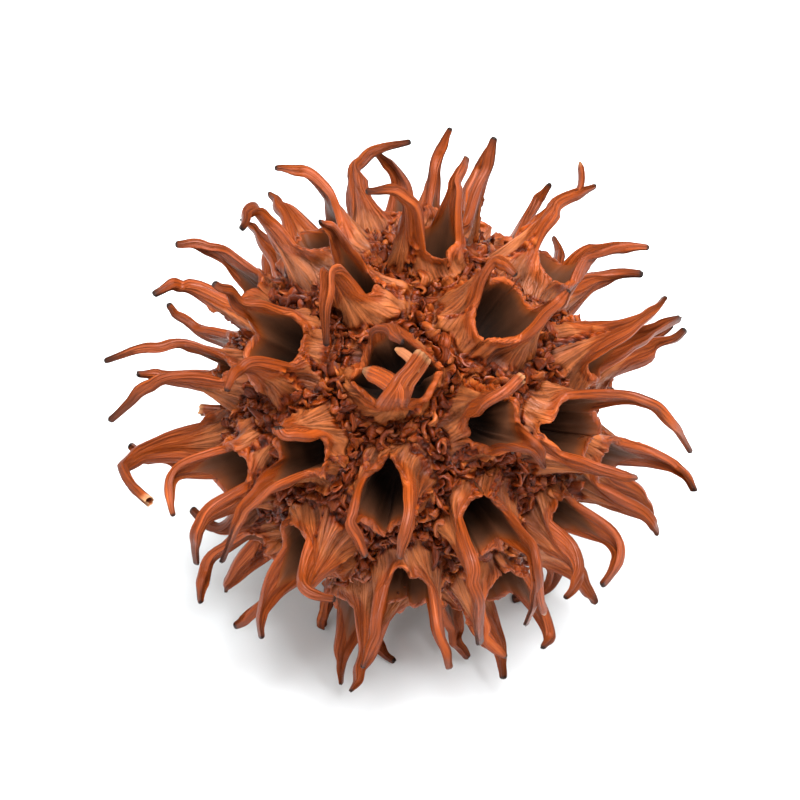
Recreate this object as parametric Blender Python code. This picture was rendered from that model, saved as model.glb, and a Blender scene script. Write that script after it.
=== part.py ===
"""Sweetgum seed pod: one woody head of two-beaked capsules, lying on three beak tips.

The head is a ball of capsules grown together along warty seams. Each capsule is a cup with
a gaping mouth between two valves, and each valve narrows into a curved beak. All of it is
one closed body, in metres, with +Z up and the origin below its middle, where it rests.
"""

import math
import random

import bmesh
import bpy
from mathutils import Matrix, Vector

MM = 0.001

# Radii from the middle of the head
SEAM_RADIUS = 13.1 * MM  # the groove between neighbouring capsules
BEAD_RADIUS = 13.8 * MM  # the row of warts on either side of the groove
FOOT_RADIUS = 13.3 * MM  # where the smooth wall of a capsule starts
CORNER_RADIUS = 15.0 * MM  # the low corners of a mouth, where its two valves meet
PEAK_RISE = 3.1 * MM  # how far a valve climbs from those corners to its beak
CAVITY_RADIUS = 12.4 * MM  # the middle of the seed cavity
CAVITY_LOW_RADIUS = 10.6 * MM
CAVITY_END_RADIUS = 9.8 * MM
REST_DROP = 19.4 * MM  # from the middle of the head down to the surface it lies on

# The mouth and the wall round it
MOUTH_ACROSS = 2.75 * MM  # half of the outer width, from valve to valve
MOUTH_ALONG = 2.95 * MM  # half of the outer length, from corner to corner
WALL = 0.66 * MM
RIM_SLOPE = 0.2 * MM  # the inner edge of the rim lies this much lower
PEAK_SHARPNESS = 1.45  # above 1, the valve's edge sweeps up to the beak in a hollow curve
MOUTH_IN_CELL = 0.7  # the share of its cell that a mouth may fill
TIGHT_SIDE = 1.12  # and how much more than that on the cell's narrowest side
GAPES = (0.85, 1.1)  # how far the drawn mouths gape, against the full width across
BEAD_SHARE = 0.88  # how far out in the cell the warts stand, from its axis to the groove
FOOT_SHARE = 0.76
WAIST_SHARE = 0.93  # the wall draws in to this share of its width halfway up
CAVITY_SHARE = 0.92
CAVITY_LOW_SHARE = 0.55

# The beaks
BEAK_ROOT_WIDTH = 1.25 * MM
BEAK_TIP_WIDTH = 0.74 * MM
BEAK_THICKNESS = 0.64 * MM
BEAK_SPANS = 4
GROWTH_LEAN = 0.15  # how far the root of a beak leans away from its mouth
BEAK_ARCHES = (0.35, 0.6)  # how far a beak grows straight on before it bends, against its reach
BEAK_LENGTHS = (4.2 * MM, 6.2 * MM)
STUB_LENGTHS = (1.8 * MM, 2.8 * MM)
STUB_CHANCE = 0.14  # some beaks are broken off short
BEAK_REACH = 21.9 * MM  # the most that a drawn beak reaches from the middle of the head
BEAK_LEANS = (-14.0, 40.0)  # degrees away from the mouth
BEAK_SWAY = 24.0  # degrees to either side
BEAK_CLEARANCE = 1.3 * MM  # between the middle lines of two beaks
TIP_STEP = 0.9 * MM  # a tip gives way to other beaks in steps of this size
TIP_STEPS = 4
REST_CLEARANCE = 0.8 * MM  # between the surface and the tips that don't touch it
SOLE_CLEARANCE = 0.25 * MM  # and all else but the three flat tips
REST_SPREAD = math.radians(26.0)  # how far the roots of the three feet stand from straight down
REST_REACH = 8.0 * MM  # and how far out their tips are
REST_TURNS = [math.radians(turn) for turn in (95.0, 215.0, 335.0)]

# The warts along the seams, larger than life. A wart on the groove stands between two beside it.
SEAM_RELIEF = 0.34 * MM
BEAD_RELIEF = 1.1  # how much the warts beside the groove rise for each step that it sinks
RELIEF_SPREAD = 0.2 * MM  # how far a wart's height may differ from the rule
BEAD_DRIFT = 0.03  # and its place across the seam

CAPSULE_COUNT = 46
POINTS_PER_SEAM = 2  # a corner of the cell, and one point before the next corner
SEED = 11
FRAME_DRAW, SEAM_DRAW, BEAK_DRAW, WART_DRAW = range(SEED, SEED + 4)  # a seed for each kind of draw
CANDIDATES = 300
RELAX_ROUNDS = 60
RELAX_STEP = 0.0035
HELD_SHARE = 0.12  # how far a listed capsule gives way, against 1 for the others

# The side that is seen from the front leans back by this angle
FRONT_TILT = math.radians(42.0)

# The capsules of the front, with their places in millimetres to the right, up and near from
# the middle of the head: the mouth, the turn of the first valve round it in degrees, how far
# the mouth gapes, how far each beak arches before it bends over, and the two beak tips.
FRONT_CAPSULES = (
    ((6.5, 7.0, 12.2), 140, 1.05, 0.75, (7.7, 9.5, 15.6), 0.5, (11.4, 8.8, 14.6)),
    ((6.5, -1.7, 13.9), 130, 1.05, 0.5, (6.3, 1.6, 17.6), 0.5, (9.6, -4.2, 14.6)),
    ((-1.4, 2.3, 15.2), 275, 1.05, 0.9, (0.6, 2.2, 19.6), 0.4, (-0.3, 4.7, 19.2)),
    ((-5.6, 8.0, 12.0), 100, 1.0, 0.5, (-6.6, 13.6, 14.6), 0.6, (-5.9, 4.2, 16.8)),
    ((-14.2, 3.0, 5.4), 95, 0.9, 0.3, (-23.0, 3.6, 6.0), 0.3, (-22.6, -1.0, 5.4)),
    ((-7.6, -4.0, 13.0), 250, 1.0, 0.5, (-13.6, -11.0, 12.4), 0.4, (-9.4, -0.8, 16.0)),
    ((-12.9, -5.8, 6.6), 135, 0.9, 0.5, (-17.2, -8.0, 8.6), 0.5, (-15.6, -11.6, 7.6)),
    ((-15.4, -1.6, 1.0), 10, 0.9, 0.9, (-19.2, -6.6, 6.6), 0.5, (-21.6, -2.4, -3.0)),
    ((-2.4, -7.0, 13.6), 175, 0.8, 0.5, (-3.0, -10.6, 16.6), 0.5, (-0.9, -10.6, 16.6)),
    ((3.7, -8.7, 12.3), 190, 1.0, 0.5, (5.0, -17.0, 11.4), 0.5, (8.2, -15.8, 10.8)),
    ((11.8, -2.5, 9.7), 80, 1.05, 0.6, (20.6, -3.2, 8.6), 0.5, (16.6, -4.8, 11.2)),
    ((13.8, 4.0, 5.7), 170, 0.7, 0.5, (18.9, 8.6, 6.4), 0.5, (20.2, 7.0, 4.4)),
    ((10.4, 11.2, 2.8), 128, 1.0, 0.5, (13.9, 16.8, 4.4), 0.3, (18.0, 12.2, 3.2)),
    ((1.2, 13.4, 7.8), 215, 1.1, 0.7, (-3.6, 15.8, 12.4), 0.5, (4.2, 18.8, 7.6)),
    ((6.2, 13.2, -5.4), 60, 1.0, 0.5, (6.4, 20.6, -4.6), 0.5, (11.0, 17.8, -5.4)),
    ((-1.2, 14.9, -4.3), 15, 1.0, 0.4, (2.4, 21.6, -3.6), 0.4, (-3.2, 20.4, -5.6)),
    ((-8.4, 12.2, 4.5), 80, 1.0, 0.5, (-10.2, 18.0, 5.4), 0.5, (-12.4, 13.0, 10.0)),
    ((-13.0, 8.4, 0.9), 120, 1.0, 0.5, (-18.0, 12.6, 0.4), 0.5, (-19.4, 8.6, 3.8)),
    ((14.4, -5.3, 2.0), 60, 0.95, 0.5, (21.2, -6.0, 4.6), 0.5, (18.6, -9.4, 2.0)),
    ((11.5, -7.8, 7.0), 30, 0.9, 0.5, (13.6, -13.0, 9.6), 0.5, (10.9, -13.6, 11.0)),
    ((-0.5, -12.7, 8.9), 180, 1.1, 0.5, (-3.6, -18.8, 9.6), 0.5, (3.0, -18.9, 9.2)),
    ((-7.0, -10.4, 9.1), 200, 1.0, 0.5, (-10.8, -16.8, 9.2), 0.6, (-5.0, -13.4, 13.8)),
    ((-11.3, -10.4, 2.0), 100, 1.0, 0.5, (-15.6, -14.4, 3.4), 0.5, (-13.4, -16.2, 2.2)),
    ((6.7, -13.0, 5.2), 40, 1.0, 0.5, (9.6, -17.6, 6.4), 0.5, (7.2, -18.2, 5.6)),
)

WOOD_COLOUR = (0.33, 0.095, 0.03)
WOOD_ROUGHNESS = 0.62


def clear_scene():
    for item in list(bpy.data.objects):
        bpy.data.objects.remove(item, do_unlink=True)


def wood():
    material = bpy.data.materials.new("dry capsule wood")
    material.use_nodes = True
    shader = material.node_tree.nodes["Principled BSDF"]
    shader.inputs["Base Color"].default_value = (*WOOD_COLOUR, 1.0)
    shader.inputs["Roughness"].default_value = WOOD_ROUGHNESS
    shader.inputs["Metallic"].default_value = 0.0
    return material


def front_to_world():
    """Turns places given as right, up and near into the world's axes."""
    right = Vector((1.0, 0.0, 0.0))
    up = Vector((0.0, math.sin(FRONT_TILT), math.cos(FRONT_TILT)))
    near = Vector((0.0, -math.cos(FRONT_TILT), math.sin(FRONT_TILT)))
    return Matrix((right, up, near)).transposed()


def random_direction(draw):
    height = draw.uniform(-1.0, 1.0)
    turn = draw.uniform(0.0, math.tau)
    flat = math.sqrt(1.0 - height * height)
    return Vector((flat * math.cos(turn), flat * math.sin(turn), height))


def relax(axes, held):
    """Pushes the axes apart over the ball. The first ones are held and give way only a little."""
    for _ in range(RELAX_ROUNDS):
        moved = []
        for index, axis in enumerate(axes):
            push = Vector()
            for other in axes:
                gap = axis - other
                if gap.length > 1e-6:
                    push += gap / gap.length**4
            push -= axis * push.dot(axis)
            step = RELAX_STEP * (HELD_SHARE if index < held else 1.0)
            moved.append((axis + push * step).normalized())
        axes = moved
    return axes


def capsule_axes(turn_front):
    """The listed axes first, then the rest of the ball filled with the widest gap taken first."""
    draw = random.Random(FRAME_DRAW)
    axes = [(turn_front @ Vector(row[0])).normalized() for row in FRONT_CAPSULES]
    while len(axes) < CAPSULE_COUNT:
        tries = [random_direction(draw) for _ in range(CANDIDATES)]
        axes.append(max(tries, key=lambda way: min((way - axis).length for axis in axes)))
    return relax(axes, len(FRONT_CAPSULES))


def cells(axes):
    """Splits the ball into one cell for each axis, and returns each cell's groove as a ring.

    The corners of the cells lie over the middles of the triangles between neighbouring axes.
    Two cells that meet share their points.
    """
    draw = random.Random(SEAM_DRAW)
    hull = bmesh.new()
    for axis in axes:
        hull.verts.new(axis)
    bmesh.ops.convex_hull(hull, input=hull.verts)
    hull.verts.ensure_lookup_table()
    hull.faces.index_update()

    def groove_point(way, rise):
        spread = draw.uniform(-RELIEF_SPREAD, RELIEF_SPREAD)
        return way.normalized() * (SEAM_RADIUS + SEAM_RELIEF * rise + spread)

    corners = {face.index: groove_point(face.calc_center_median(), -1) for face in hull.faces}
    seams = {}
    for edge in hull.edges:
        start, end = (face.index for face in edge.link_faces)
        seam = []
        for step in range(1, POINTS_PER_SEAM):
            way = corners[start].lerp(corners[end], step / POINTS_PER_SEAM)
            seam.append(groove_point(way, 1 if step % 2 else -1))
        seams[start, end] = seam
        seams[end, start] = seam[::-1]

    rings = []
    for axis, vert in zip(axes, hull.verts):
        across = axis.orthogonal().normalized()
        side = axis.cross(across)
        order = sorted(
            (face.index for face in vert.link_faces),
            key=lambda index: math.atan2(corners[index].dot(side), corners[index].dot(across)),
        )
        ring = []
        for here, there in zip(order, order[1:] + order[:1]):
            ring.append(corners[here])
            ring.extend(seams[here, there])
        rings.append(ring)
    hull.free()
    return rings


def rim_angles(count):
    """Angles round a mouth, with two columns to carry each beak and the others spread evenly."""
    root = math.asin(0.5 * BEAK_ROOT_WIDTH / MOUTH_ALONG)
    half = count // 2
    step = (math.pi - 2.0 * root) / (half - 1)
    first = [root + step * index for index in range(half)]
    return first + [angle + math.pi for angle in first]


class Capsule:
    """One capsule: its axes, its cell and the shape of its walls."""

    def __init__(self, axis, turn_from, turn, gape, ring):
        start = (turn_from - axis * turn_from.dot(axis)).normalized()
        self.axis = axis
        self.valve = Matrix.Rotation(turn, 3, axis) @ start
        self.side = axis.cross(self.valve)
        self.gape = gape
        self.angles = rim_angles(len(ring))
        self.ring = self.matched(ring)
        self.size = self.fitted()
        self.tips = []

    def flat(self, point):
        return point.dot(self.valve), point.dot(self.side)

    def matched(self, ring):
        """Turns the ring's order so that its points stand under the columns of the rim."""

        def twist(shift):
            total = 0.0
            for index, angle in enumerate(self.angles):
                across, along = self.flat(ring[(index + shift) % len(ring)])
                off = math.atan2(along, across) - angle
                total += 1.0 - math.cos(off)
            return total

        best = min(range(len(ring)), key=twist)
        return ring[best:] + ring[:best]

    def fitted(self):
        """The share of its full size that keeps the mouth well inside the cell."""
        room = []
        for point, angle in zip(self.ring, self.angles):
            width = Vector(self.flat(point)).length * CORNER_RADIUS / SEAM_RADIUS
            mouth = Vector(self.mouth_point(angle, 0.0, 1.0)).length
            room.append(MOUTH_IN_CELL * width / mouth)
        return min(1.0, sum(room) / len(room), TIGHT_SIDE * min(room))

    def mouth_point(self, angle, inset, size):
        across = (MOUTH_ACROSS * self.gape * size - inset) * math.cos(angle)
        along = (MOUTH_ALONG * size - inset) * math.sin(angle)
        return across, along

    def place(self, across, along, height):
        return self.valve * across + self.side * along + self.axis * height

    def rim_height(self, angle):
        climb = (1.0 - abs(math.sin(angle))) ** PEAK_SHARPNESS
        return CORNER_RADIUS + PEAK_RISE * climb

    def outer_rim(self, angle):
        return self.place(*self.mouth_point(angle, 0.0, self.size), self.rim_height(angle))

    def inner_rim(self, angle):
        height = self.rim_height(angle) - RIM_SLOPE
        return self.place(*self.mouth_point(angle, WALL, self.size), height)

    def cavity(self, angle, share, height):
        across, along = self.mouth_point(angle, WALL, self.size)
        return self.place(across * share, along * share, height)

    def toward_groove(self, point, share, radius):
        return self.axis.lerp(point.normalized(), share).normalized() * radius

    def waist(self, foot, rim):
        middle = foot.lerp(rim, 0.5)
        height = middle.dot(self.axis)
        inward = (middle - self.axis * height) * WAIST_SHARE
        return inward + self.axis * height


def root_of(capsule, beak):
    """The middle of a beak's root, the way it grows and the way out from the mouth."""
    angle = math.pi * beak
    outward = capsule.valve * math.cos(angle)
    middle = (capsule.outer_rim(angle) + capsule.inner_rim(angle)) / 2.0
    growth = (capsule.axis + outward * GROWTH_LEAN * capsule.gape).normalized()
    return middle, growth, outward


def beak_line(capsule, beak, tip, arch, count):
    """Points along a beak: it grows straight out of the valve and bends towards its tip."""
    root, growth, _ = root_of(capsule, beak)
    bend = root + growth * (tip - root).length * arch
    points = []
    for index in range(count + 1):
        share = index / count
        points.append(root.lerp(bend, share).lerp(bend.lerp(tip, share), share))
    return points


def clear_of(line, others):
    """Whether a beak's line keeps its distance from all the others."""
    for other in others:
        for here in line:
            if any((here - there).length < BEAK_CLEARANCE for there in other):
                return False
    return True


def grown_tip(capsule, beak, draw):
    """A tip for a beak that the list doesn't give."""
    root, growth, outward = root_of(capsule, beak)
    lean = math.radians(draw.uniform(*BEAK_LEANS))
    sway = math.radians(draw.uniform(-BEAK_SWAY, BEAK_SWAY))
    way = growth * math.cos(lean) + outward * math.sin(lean)
    way = way + growth.cross(outward) * math.tan(sway)
    lengths = STUB_LENGTHS if draw.random() < STUB_CHANCE else BEAK_LENGTHS
    tip = root + way.normalized() * draw.uniform(*lengths)
    return tip * min(1.0, BEAK_REACH / tip.length)


def wished_beaks(capsules, turn_front, draw):
    """Every beak with the tip and arch that the list gives, or ones drawn for it."""
    wishes = []
    for index, capsule in enumerate(capsules):
        for beak in (0, 1):
            if index < len(FRONT_CAPSULES):
                row = FRONT_CAPSULES[index]
                tip = turn_front @ (Vector(row[4 + 2 * beak]) * MM)
                wishes.append((capsule, beak, tip, row[3 + 2 * beak]))
            else:
                tip = grown_tip(capsule, beak, draw)
                wishes.append((capsule, beak, tip, draw.uniform(*BEAK_ARCHES)))
    return wishes


def rest_beaks(wishes):
    """The three beaks that carry the head, spread round its weight."""
    feet = []
    for turn in REST_TURNS:
        flat = math.sin(REST_SPREAD)
        wanted = Vector((flat * math.cos(turn), flat * math.sin(turn), -math.cos(REST_SPREAD)))
        free = [wish[:2] for wish in wishes if wish[:2] not in feet]
        feet.append(max(free, key=lambda wish: root_of(*wish)[0].normalized().dot(wanted)))
    return feet


def tip_places(capsule, tip, on_surface):
    """The wished place of a tip and those round it, the nearest first."""
    steps = range(-TIP_STEPS, TIP_STEPS + 1)
    moves = sorted(((a, b) for a in steps for b in steps), key=lambda move: math.hypot(*move))
    for across, along in moves:
        place = tip + (capsule.valve * across + capsule.side * along) * TIP_STEP
        place.z = -REST_DROP if on_surface else max(place.z, REST_CLEARANCE - REST_DROP)
        yield place


def settle_beaks(capsules, turn_front, draw):
    """Gives every beak its tip and arch, and keeps the beaks out of each other."""
    wishes = wished_beaks(capsules, turn_front, draw)
    feet = rest_beaks(wishes)
    lines = []
    for capsule, beak, tip, arch in wishes:
        on_surface = (capsule, beak) in feet
        if on_surface:
            root = root_of(capsule, beak)[0]
            tip = Vector((root.x, root.y, 0.0)).normalized() * REST_REACH
        for place in tip_places(capsule, tip, on_surface):
            line = beak_line(capsule, beak, place, arch, 2 * BEAK_SPANS)
            if clear_of(line, lines):
                break
        lines.append(line)
        capsule.tips.append((place, arch, on_surface))


def bridge(mesh, lower, upper):
    """Joins two rings of as many points with triangles, all split the same way."""
    count = len(lower)
    for index in range(count):
        after = (index + 1) % count
        mesh.faces.new((lower[index], lower[after], upper[after]))
        mesh.faces.new((lower[index], upper[after], upper[index]))


def grow_beak(mesh, capsule, beak, root_ring):
    """Lofts a beak from the four points of its root to a blunt tip."""
    tip, arch, on_surface = capsule.tips[beak]
    line = beak_line(capsule, beak, tip, arch, BEAK_SPANS)
    ring = root_ring
    width_way = capsule.side * (1.0 if beak == 0 else -1.0)
    for index in range(1, BEAK_SPANS + 1):
        ahead = line[min(index + 1, BEAK_SPANS)] - line[index - 1]
        along = ahead.normalized()
        width_way = (width_way - along * width_way.dot(along)).normalized()
        thick_way = width_way.cross(along)
        share = index / BEAK_SPANS
        width = BEAK_ROOT_WIDTH + (BEAK_TIP_WIDTH - BEAK_ROOT_WIDTH) * share
        last = index == BEAK_SPANS
        section = []
        for across, through in ((-1, 1), (1, 1), (1, -1), (-1, -1)):
            point = line[index] + width_way * (0.5 * width * across)
            point = point + thick_way * (0.5 * BEAK_THICKNESS * through)
            if last and on_surface:
                point.z = -REST_DROP
            else:
                point.z = max(point.z, SOLE_CLEARANCE - REST_DROP)
            section.append(mesh.verts.new(point))
        bridge(mesh, ring, section)
        ring = section
    mesh.faces.new(ring[:3])
    mesh.faces.new((ring[0], ring[2], ring[3]))


def grow_capsule(mesh, capsule, groove, draw):
    """Lofts one capsule from its groove over the wall and the rim into its cavity."""
    bead, foot, waist, rim, lip, cavity, low = ([] for _ in range(7))
    for point, angle in zip(capsule.ring, capsule.angles):
        wart = (SEAM_RADIUS - point.length) * BEAD_RELIEF
        wart += draw.uniform(-RELIEF_SPREAD, RELIEF_SPREAD)
        share = BEAD_SHARE + draw.uniform(-BEAD_DRIFT, BEAD_DRIFT)
        bead.append(capsule.toward_groove(point, share, BEAD_RADIUS + wart))
        foot.append(capsule.toward_groove(point, FOOT_SHARE, FOOT_RADIUS))
        rim.append(capsule.outer_rim(angle))
        waist.append(capsule.waist(foot[-1], rim[-1]))
        lip.append(capsule.inner_rim(angle))
        cavity.append(capsule.cavity(angle, CAVITY_SHARE, CAVITY_RADIUS))
        low.append(capsule.cavity(angle, CAVITY_LOW_SHARE, CAVITY_LOW_RADIUS))

    rings = [groove]
    for points in (bead, foot, waist, rim, lip, cavity, low):
        rings.append([mesh.verts.new(point) for point in points])
    rim_verts, lip_verts = rings[4], rings[5]
    count = len(groove)
    carriers = {(count - 1, 0): 0, (count // 2 - 1, count // 2): 1}
    for lower, upper in zip(rings, rings[1:]):
        if lower is not rim_verts:
            bridge(mesh, lower, upper)
    for index in range(count):
        after = (index + 1) % count
        loop = [rim_verts[index], rim_verts[after], lip_verts[after], lip_verts[index]]
        if (index, after) in carriers:
            grow_beak(mesh, capsule, carriers[index, after], loop)
        else:
            mesh.faces.new(loop[:3])
            mesh.faces.new((loop[0], loop[2], loop[3]))
    end = mesh.verts.new(capsule.axis * CAVITY_END_RADIUS)
    for index in range(count):
        mesh.faces.new((rings[-1][index], rings[-1][(index + 1) % count], end))


def build_capsules():
    draw = random.Random(BEAK_DRAW)
    turn_front = front_to_world()
    axes = capsule_axes(turn_front)
    up = turn_front @ Vector((0.0, 1.0, 0.0))
    capsules = []
    for index, (axis, ring) in enumerate(zip(axes, cells(axes))):
        if index < len(FRONT_CAPSULES):
            turn, gape = math.radians(FRONT_CAPSULES[index][1]), FRONT_CAPSULES[index][2]
        else:
            turn, gape = draw.uniform(0.0, math.tau), draw.uniform(*GAPES)
        capsules.append(Capsule(axis, up.cross(axis), turn, gape, ring))
    settle_beaks(capsules, turn_front, draw)
    return capsules


def resting_place(capsules):
    """The point of the surface below the middle of the box round all beaks."""
    points = []
    for capsule in capsules:
        for beak, (tip, arch, _) in enumerate(capsule.tips):
            points += beak_line(capsule, beak, tip, arch, BEAK_SPANS)
    across = [point.x for point in points]
    deep = [point.y for point in points]
    return Vector(((max(across) + min(across)) / 2.0, (max(deep) + min(deep)) / 2.0, -REST_DROP))


def seed_pod():
    capsules = build_capsules()
    mesh = bmesh.new()
    draw = random.Random(WART_DRAW)
    placed = {}
    for capsule in capsules:
        groove = []
        for point in capsule.ring:
            key = tuple(point)
            if key not in placed:
                placed[key] = mesh.verts.new(point)
            groove.append(placed[key])
        grow_capsule(mesh, capsule, groove, draw)
    bmesh.ops.translate(mesh, verts=mesh.verts, vec=-resting_place(capsules))
    data = bpy.data.meshes.new("seed_pod")
    mesh.to_mesh(data)
    mesh.free()
    data.materials.append(wood())
    return bpy.data.objects.new("seed_pod", data)


clear_scene()
collection = bpy.data.collections.new("sweetgum seed pod")
bpy.context.scene.collection.children.link(collection)
collection.objects.link(seed_pod())
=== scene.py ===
"""Sweetgum seed pod, dressed: dry fused capsules with fibrous walls, gaping chambers, curved
beaks and a crust of crumpled, curled bits along the seams, lying on a pale floor."""
import math
import random

import bmesh
import bpy
import numpy as np
from mathutils import Matrix, Vector, noise


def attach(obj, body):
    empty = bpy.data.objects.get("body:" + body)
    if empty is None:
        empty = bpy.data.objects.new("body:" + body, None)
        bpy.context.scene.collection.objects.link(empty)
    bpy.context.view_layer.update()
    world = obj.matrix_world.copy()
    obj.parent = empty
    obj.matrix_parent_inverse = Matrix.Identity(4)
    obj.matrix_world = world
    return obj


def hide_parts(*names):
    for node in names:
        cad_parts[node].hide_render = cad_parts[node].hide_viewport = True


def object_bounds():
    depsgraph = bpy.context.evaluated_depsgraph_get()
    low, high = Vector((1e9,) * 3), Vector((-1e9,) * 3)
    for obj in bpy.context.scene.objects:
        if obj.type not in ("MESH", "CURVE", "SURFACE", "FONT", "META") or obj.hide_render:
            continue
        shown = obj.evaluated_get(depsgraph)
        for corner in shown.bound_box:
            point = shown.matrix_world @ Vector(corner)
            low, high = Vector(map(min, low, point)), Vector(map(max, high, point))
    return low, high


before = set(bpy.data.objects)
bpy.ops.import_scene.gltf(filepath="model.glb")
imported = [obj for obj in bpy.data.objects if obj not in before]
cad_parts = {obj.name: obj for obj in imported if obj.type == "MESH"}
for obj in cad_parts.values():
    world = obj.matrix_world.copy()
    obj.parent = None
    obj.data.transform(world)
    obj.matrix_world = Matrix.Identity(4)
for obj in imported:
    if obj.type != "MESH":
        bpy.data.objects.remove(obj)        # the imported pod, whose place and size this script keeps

CAD_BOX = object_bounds()
MM = 0.001
BOX_INSIDE = [np.array(corner) for corner in CAD_BOX]  # no point goes outside this
# Radii from the middle of the head
SEAM_RADIUS = 13.1 * MM  # the groove between neighbouring capsules
CRUST_RADIUS = 13.8 * MM  # the top of the crust on either side of the groove
FOOT_RADIUS = 13.3 * MM  # where the smooth wall of a capsule starts
CORNER_RADIUS = 15.0 * MM  # the low corners of a mouth, where its two valves meet
PEAK_RISE = 3.1 * MM  # how far a valve climbs from those corners to its beak
CHAMBER_END_RADIUS = 9.8 * MM  # the bottom of a seed chamber
REST_DROP = 19.4 * MM  # from the middle of the head down to the surface it lies on

# The mouth and the wall round it
MOUTH_ACROSS = 2.75 * MM  # half of the outer width, from valve to valve
MOUTH_ALONG = 2.95 * MM  # half of the outer length, from corner to corner
WALL = 0.66 * MM
RIM_SLOPE = 0.2 * MM  # the inner edge of the rim lies this much lower
PEAK_SHARPNESS = 1.45  # above 1, the valve's edge sweeps up to the beak in a hollow curve
MOUTH_IN_CELL = 0.7  # the share of its cell that a mouth may fill
TIGHT_SIDE = 1.12  # and how much more than that on the cell's narrowest side
GAPES = (0.85, 1.1)  # how far the drawn mouths gape, against the full width across
FOOT_SHARE = 0.8  # how far out in its cell the foot of the wall stands, from the axis to the groove
WAIST_SHARE = 0.93  # the wall draws in to this share of its width halfway up

# The beaks
BEAK_ROOT_WIDTH = 1.25 * MM
BEAK_TIP_WIDTH = 0.74 * MM
BEAK_THICKNESS = 0.64 * MM
BEAK_SPANS = 4
GROWTH_LEAN = 0.15  # how far the root of a beak leans away from its mouth
BEAK_ARCHES = (0.35, 0.6)  # how far a beak grows straight on before it bends, against its reach
BEAK_LENGTHS = (4.2 * MM, 6.2 * MM)
STUB_LENGTHS = (1.8 * MM, 2.8 * MM)
STUB_CHANCE = 0.14  # some beaks are broken off short
BEAK_REACH = 21.9 * MM  # the most that a drawn beak reaches from the middle of the head
BEAK_LEANS = (-14.0, 40.0)  # degrees away from the mouth
BEAK_SWAY = 24.0  # degrees to either side
BEAK_CLEARANCE = 1.3 * MM  # between the middle lines of two beaks
TIP_STEP = 0.9 * MM  # a tip gives way to other beaks in steps of this size
TIP_STEPS = 4
REST_CLEARANCE = 0.8 * MM  # between the surface and the tips that don't touch it
SOLE_CLEARANCE = 0.25 * MM  # and all else but the three flat tips
REST_SPREAD = math.radians(26.0)  # how far the roots of the three feet stand from straight down
REST_REACH = 8.0 * MM  # and how far out their tips are
REST_TURNS = [math.radians(turn) for turn in (95.0, 215.0, 335.0)]

# The groove between the capsules
SEAM_RELIEF = 0.34 * MM  # its points stand higher and lower by turns
RELIEF_SPREAD = 0.2 * MM  # and are up to this much out of that order

CAPSULE_COUNT = 46
POINTS_PER_SEAM = 2  # a corner of the cell, and one point before the next corner
SEED = 11
FRAME_DRAW, SEAM_DRAW, BEAK_DRAW = range(SEED, SEED + 3)  # a seed for each kind of draw
CANDIDATES = 300
RELAX_ROUNDS = 60
RELAX_STEP = 0.0035
HELD_SHARE = 0.12  # how far a listed capsule gives way, against 1 for the others

# The side that is seen from the front leans back by this angle
FRONT_TILT = math.radians(42.0)

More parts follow.
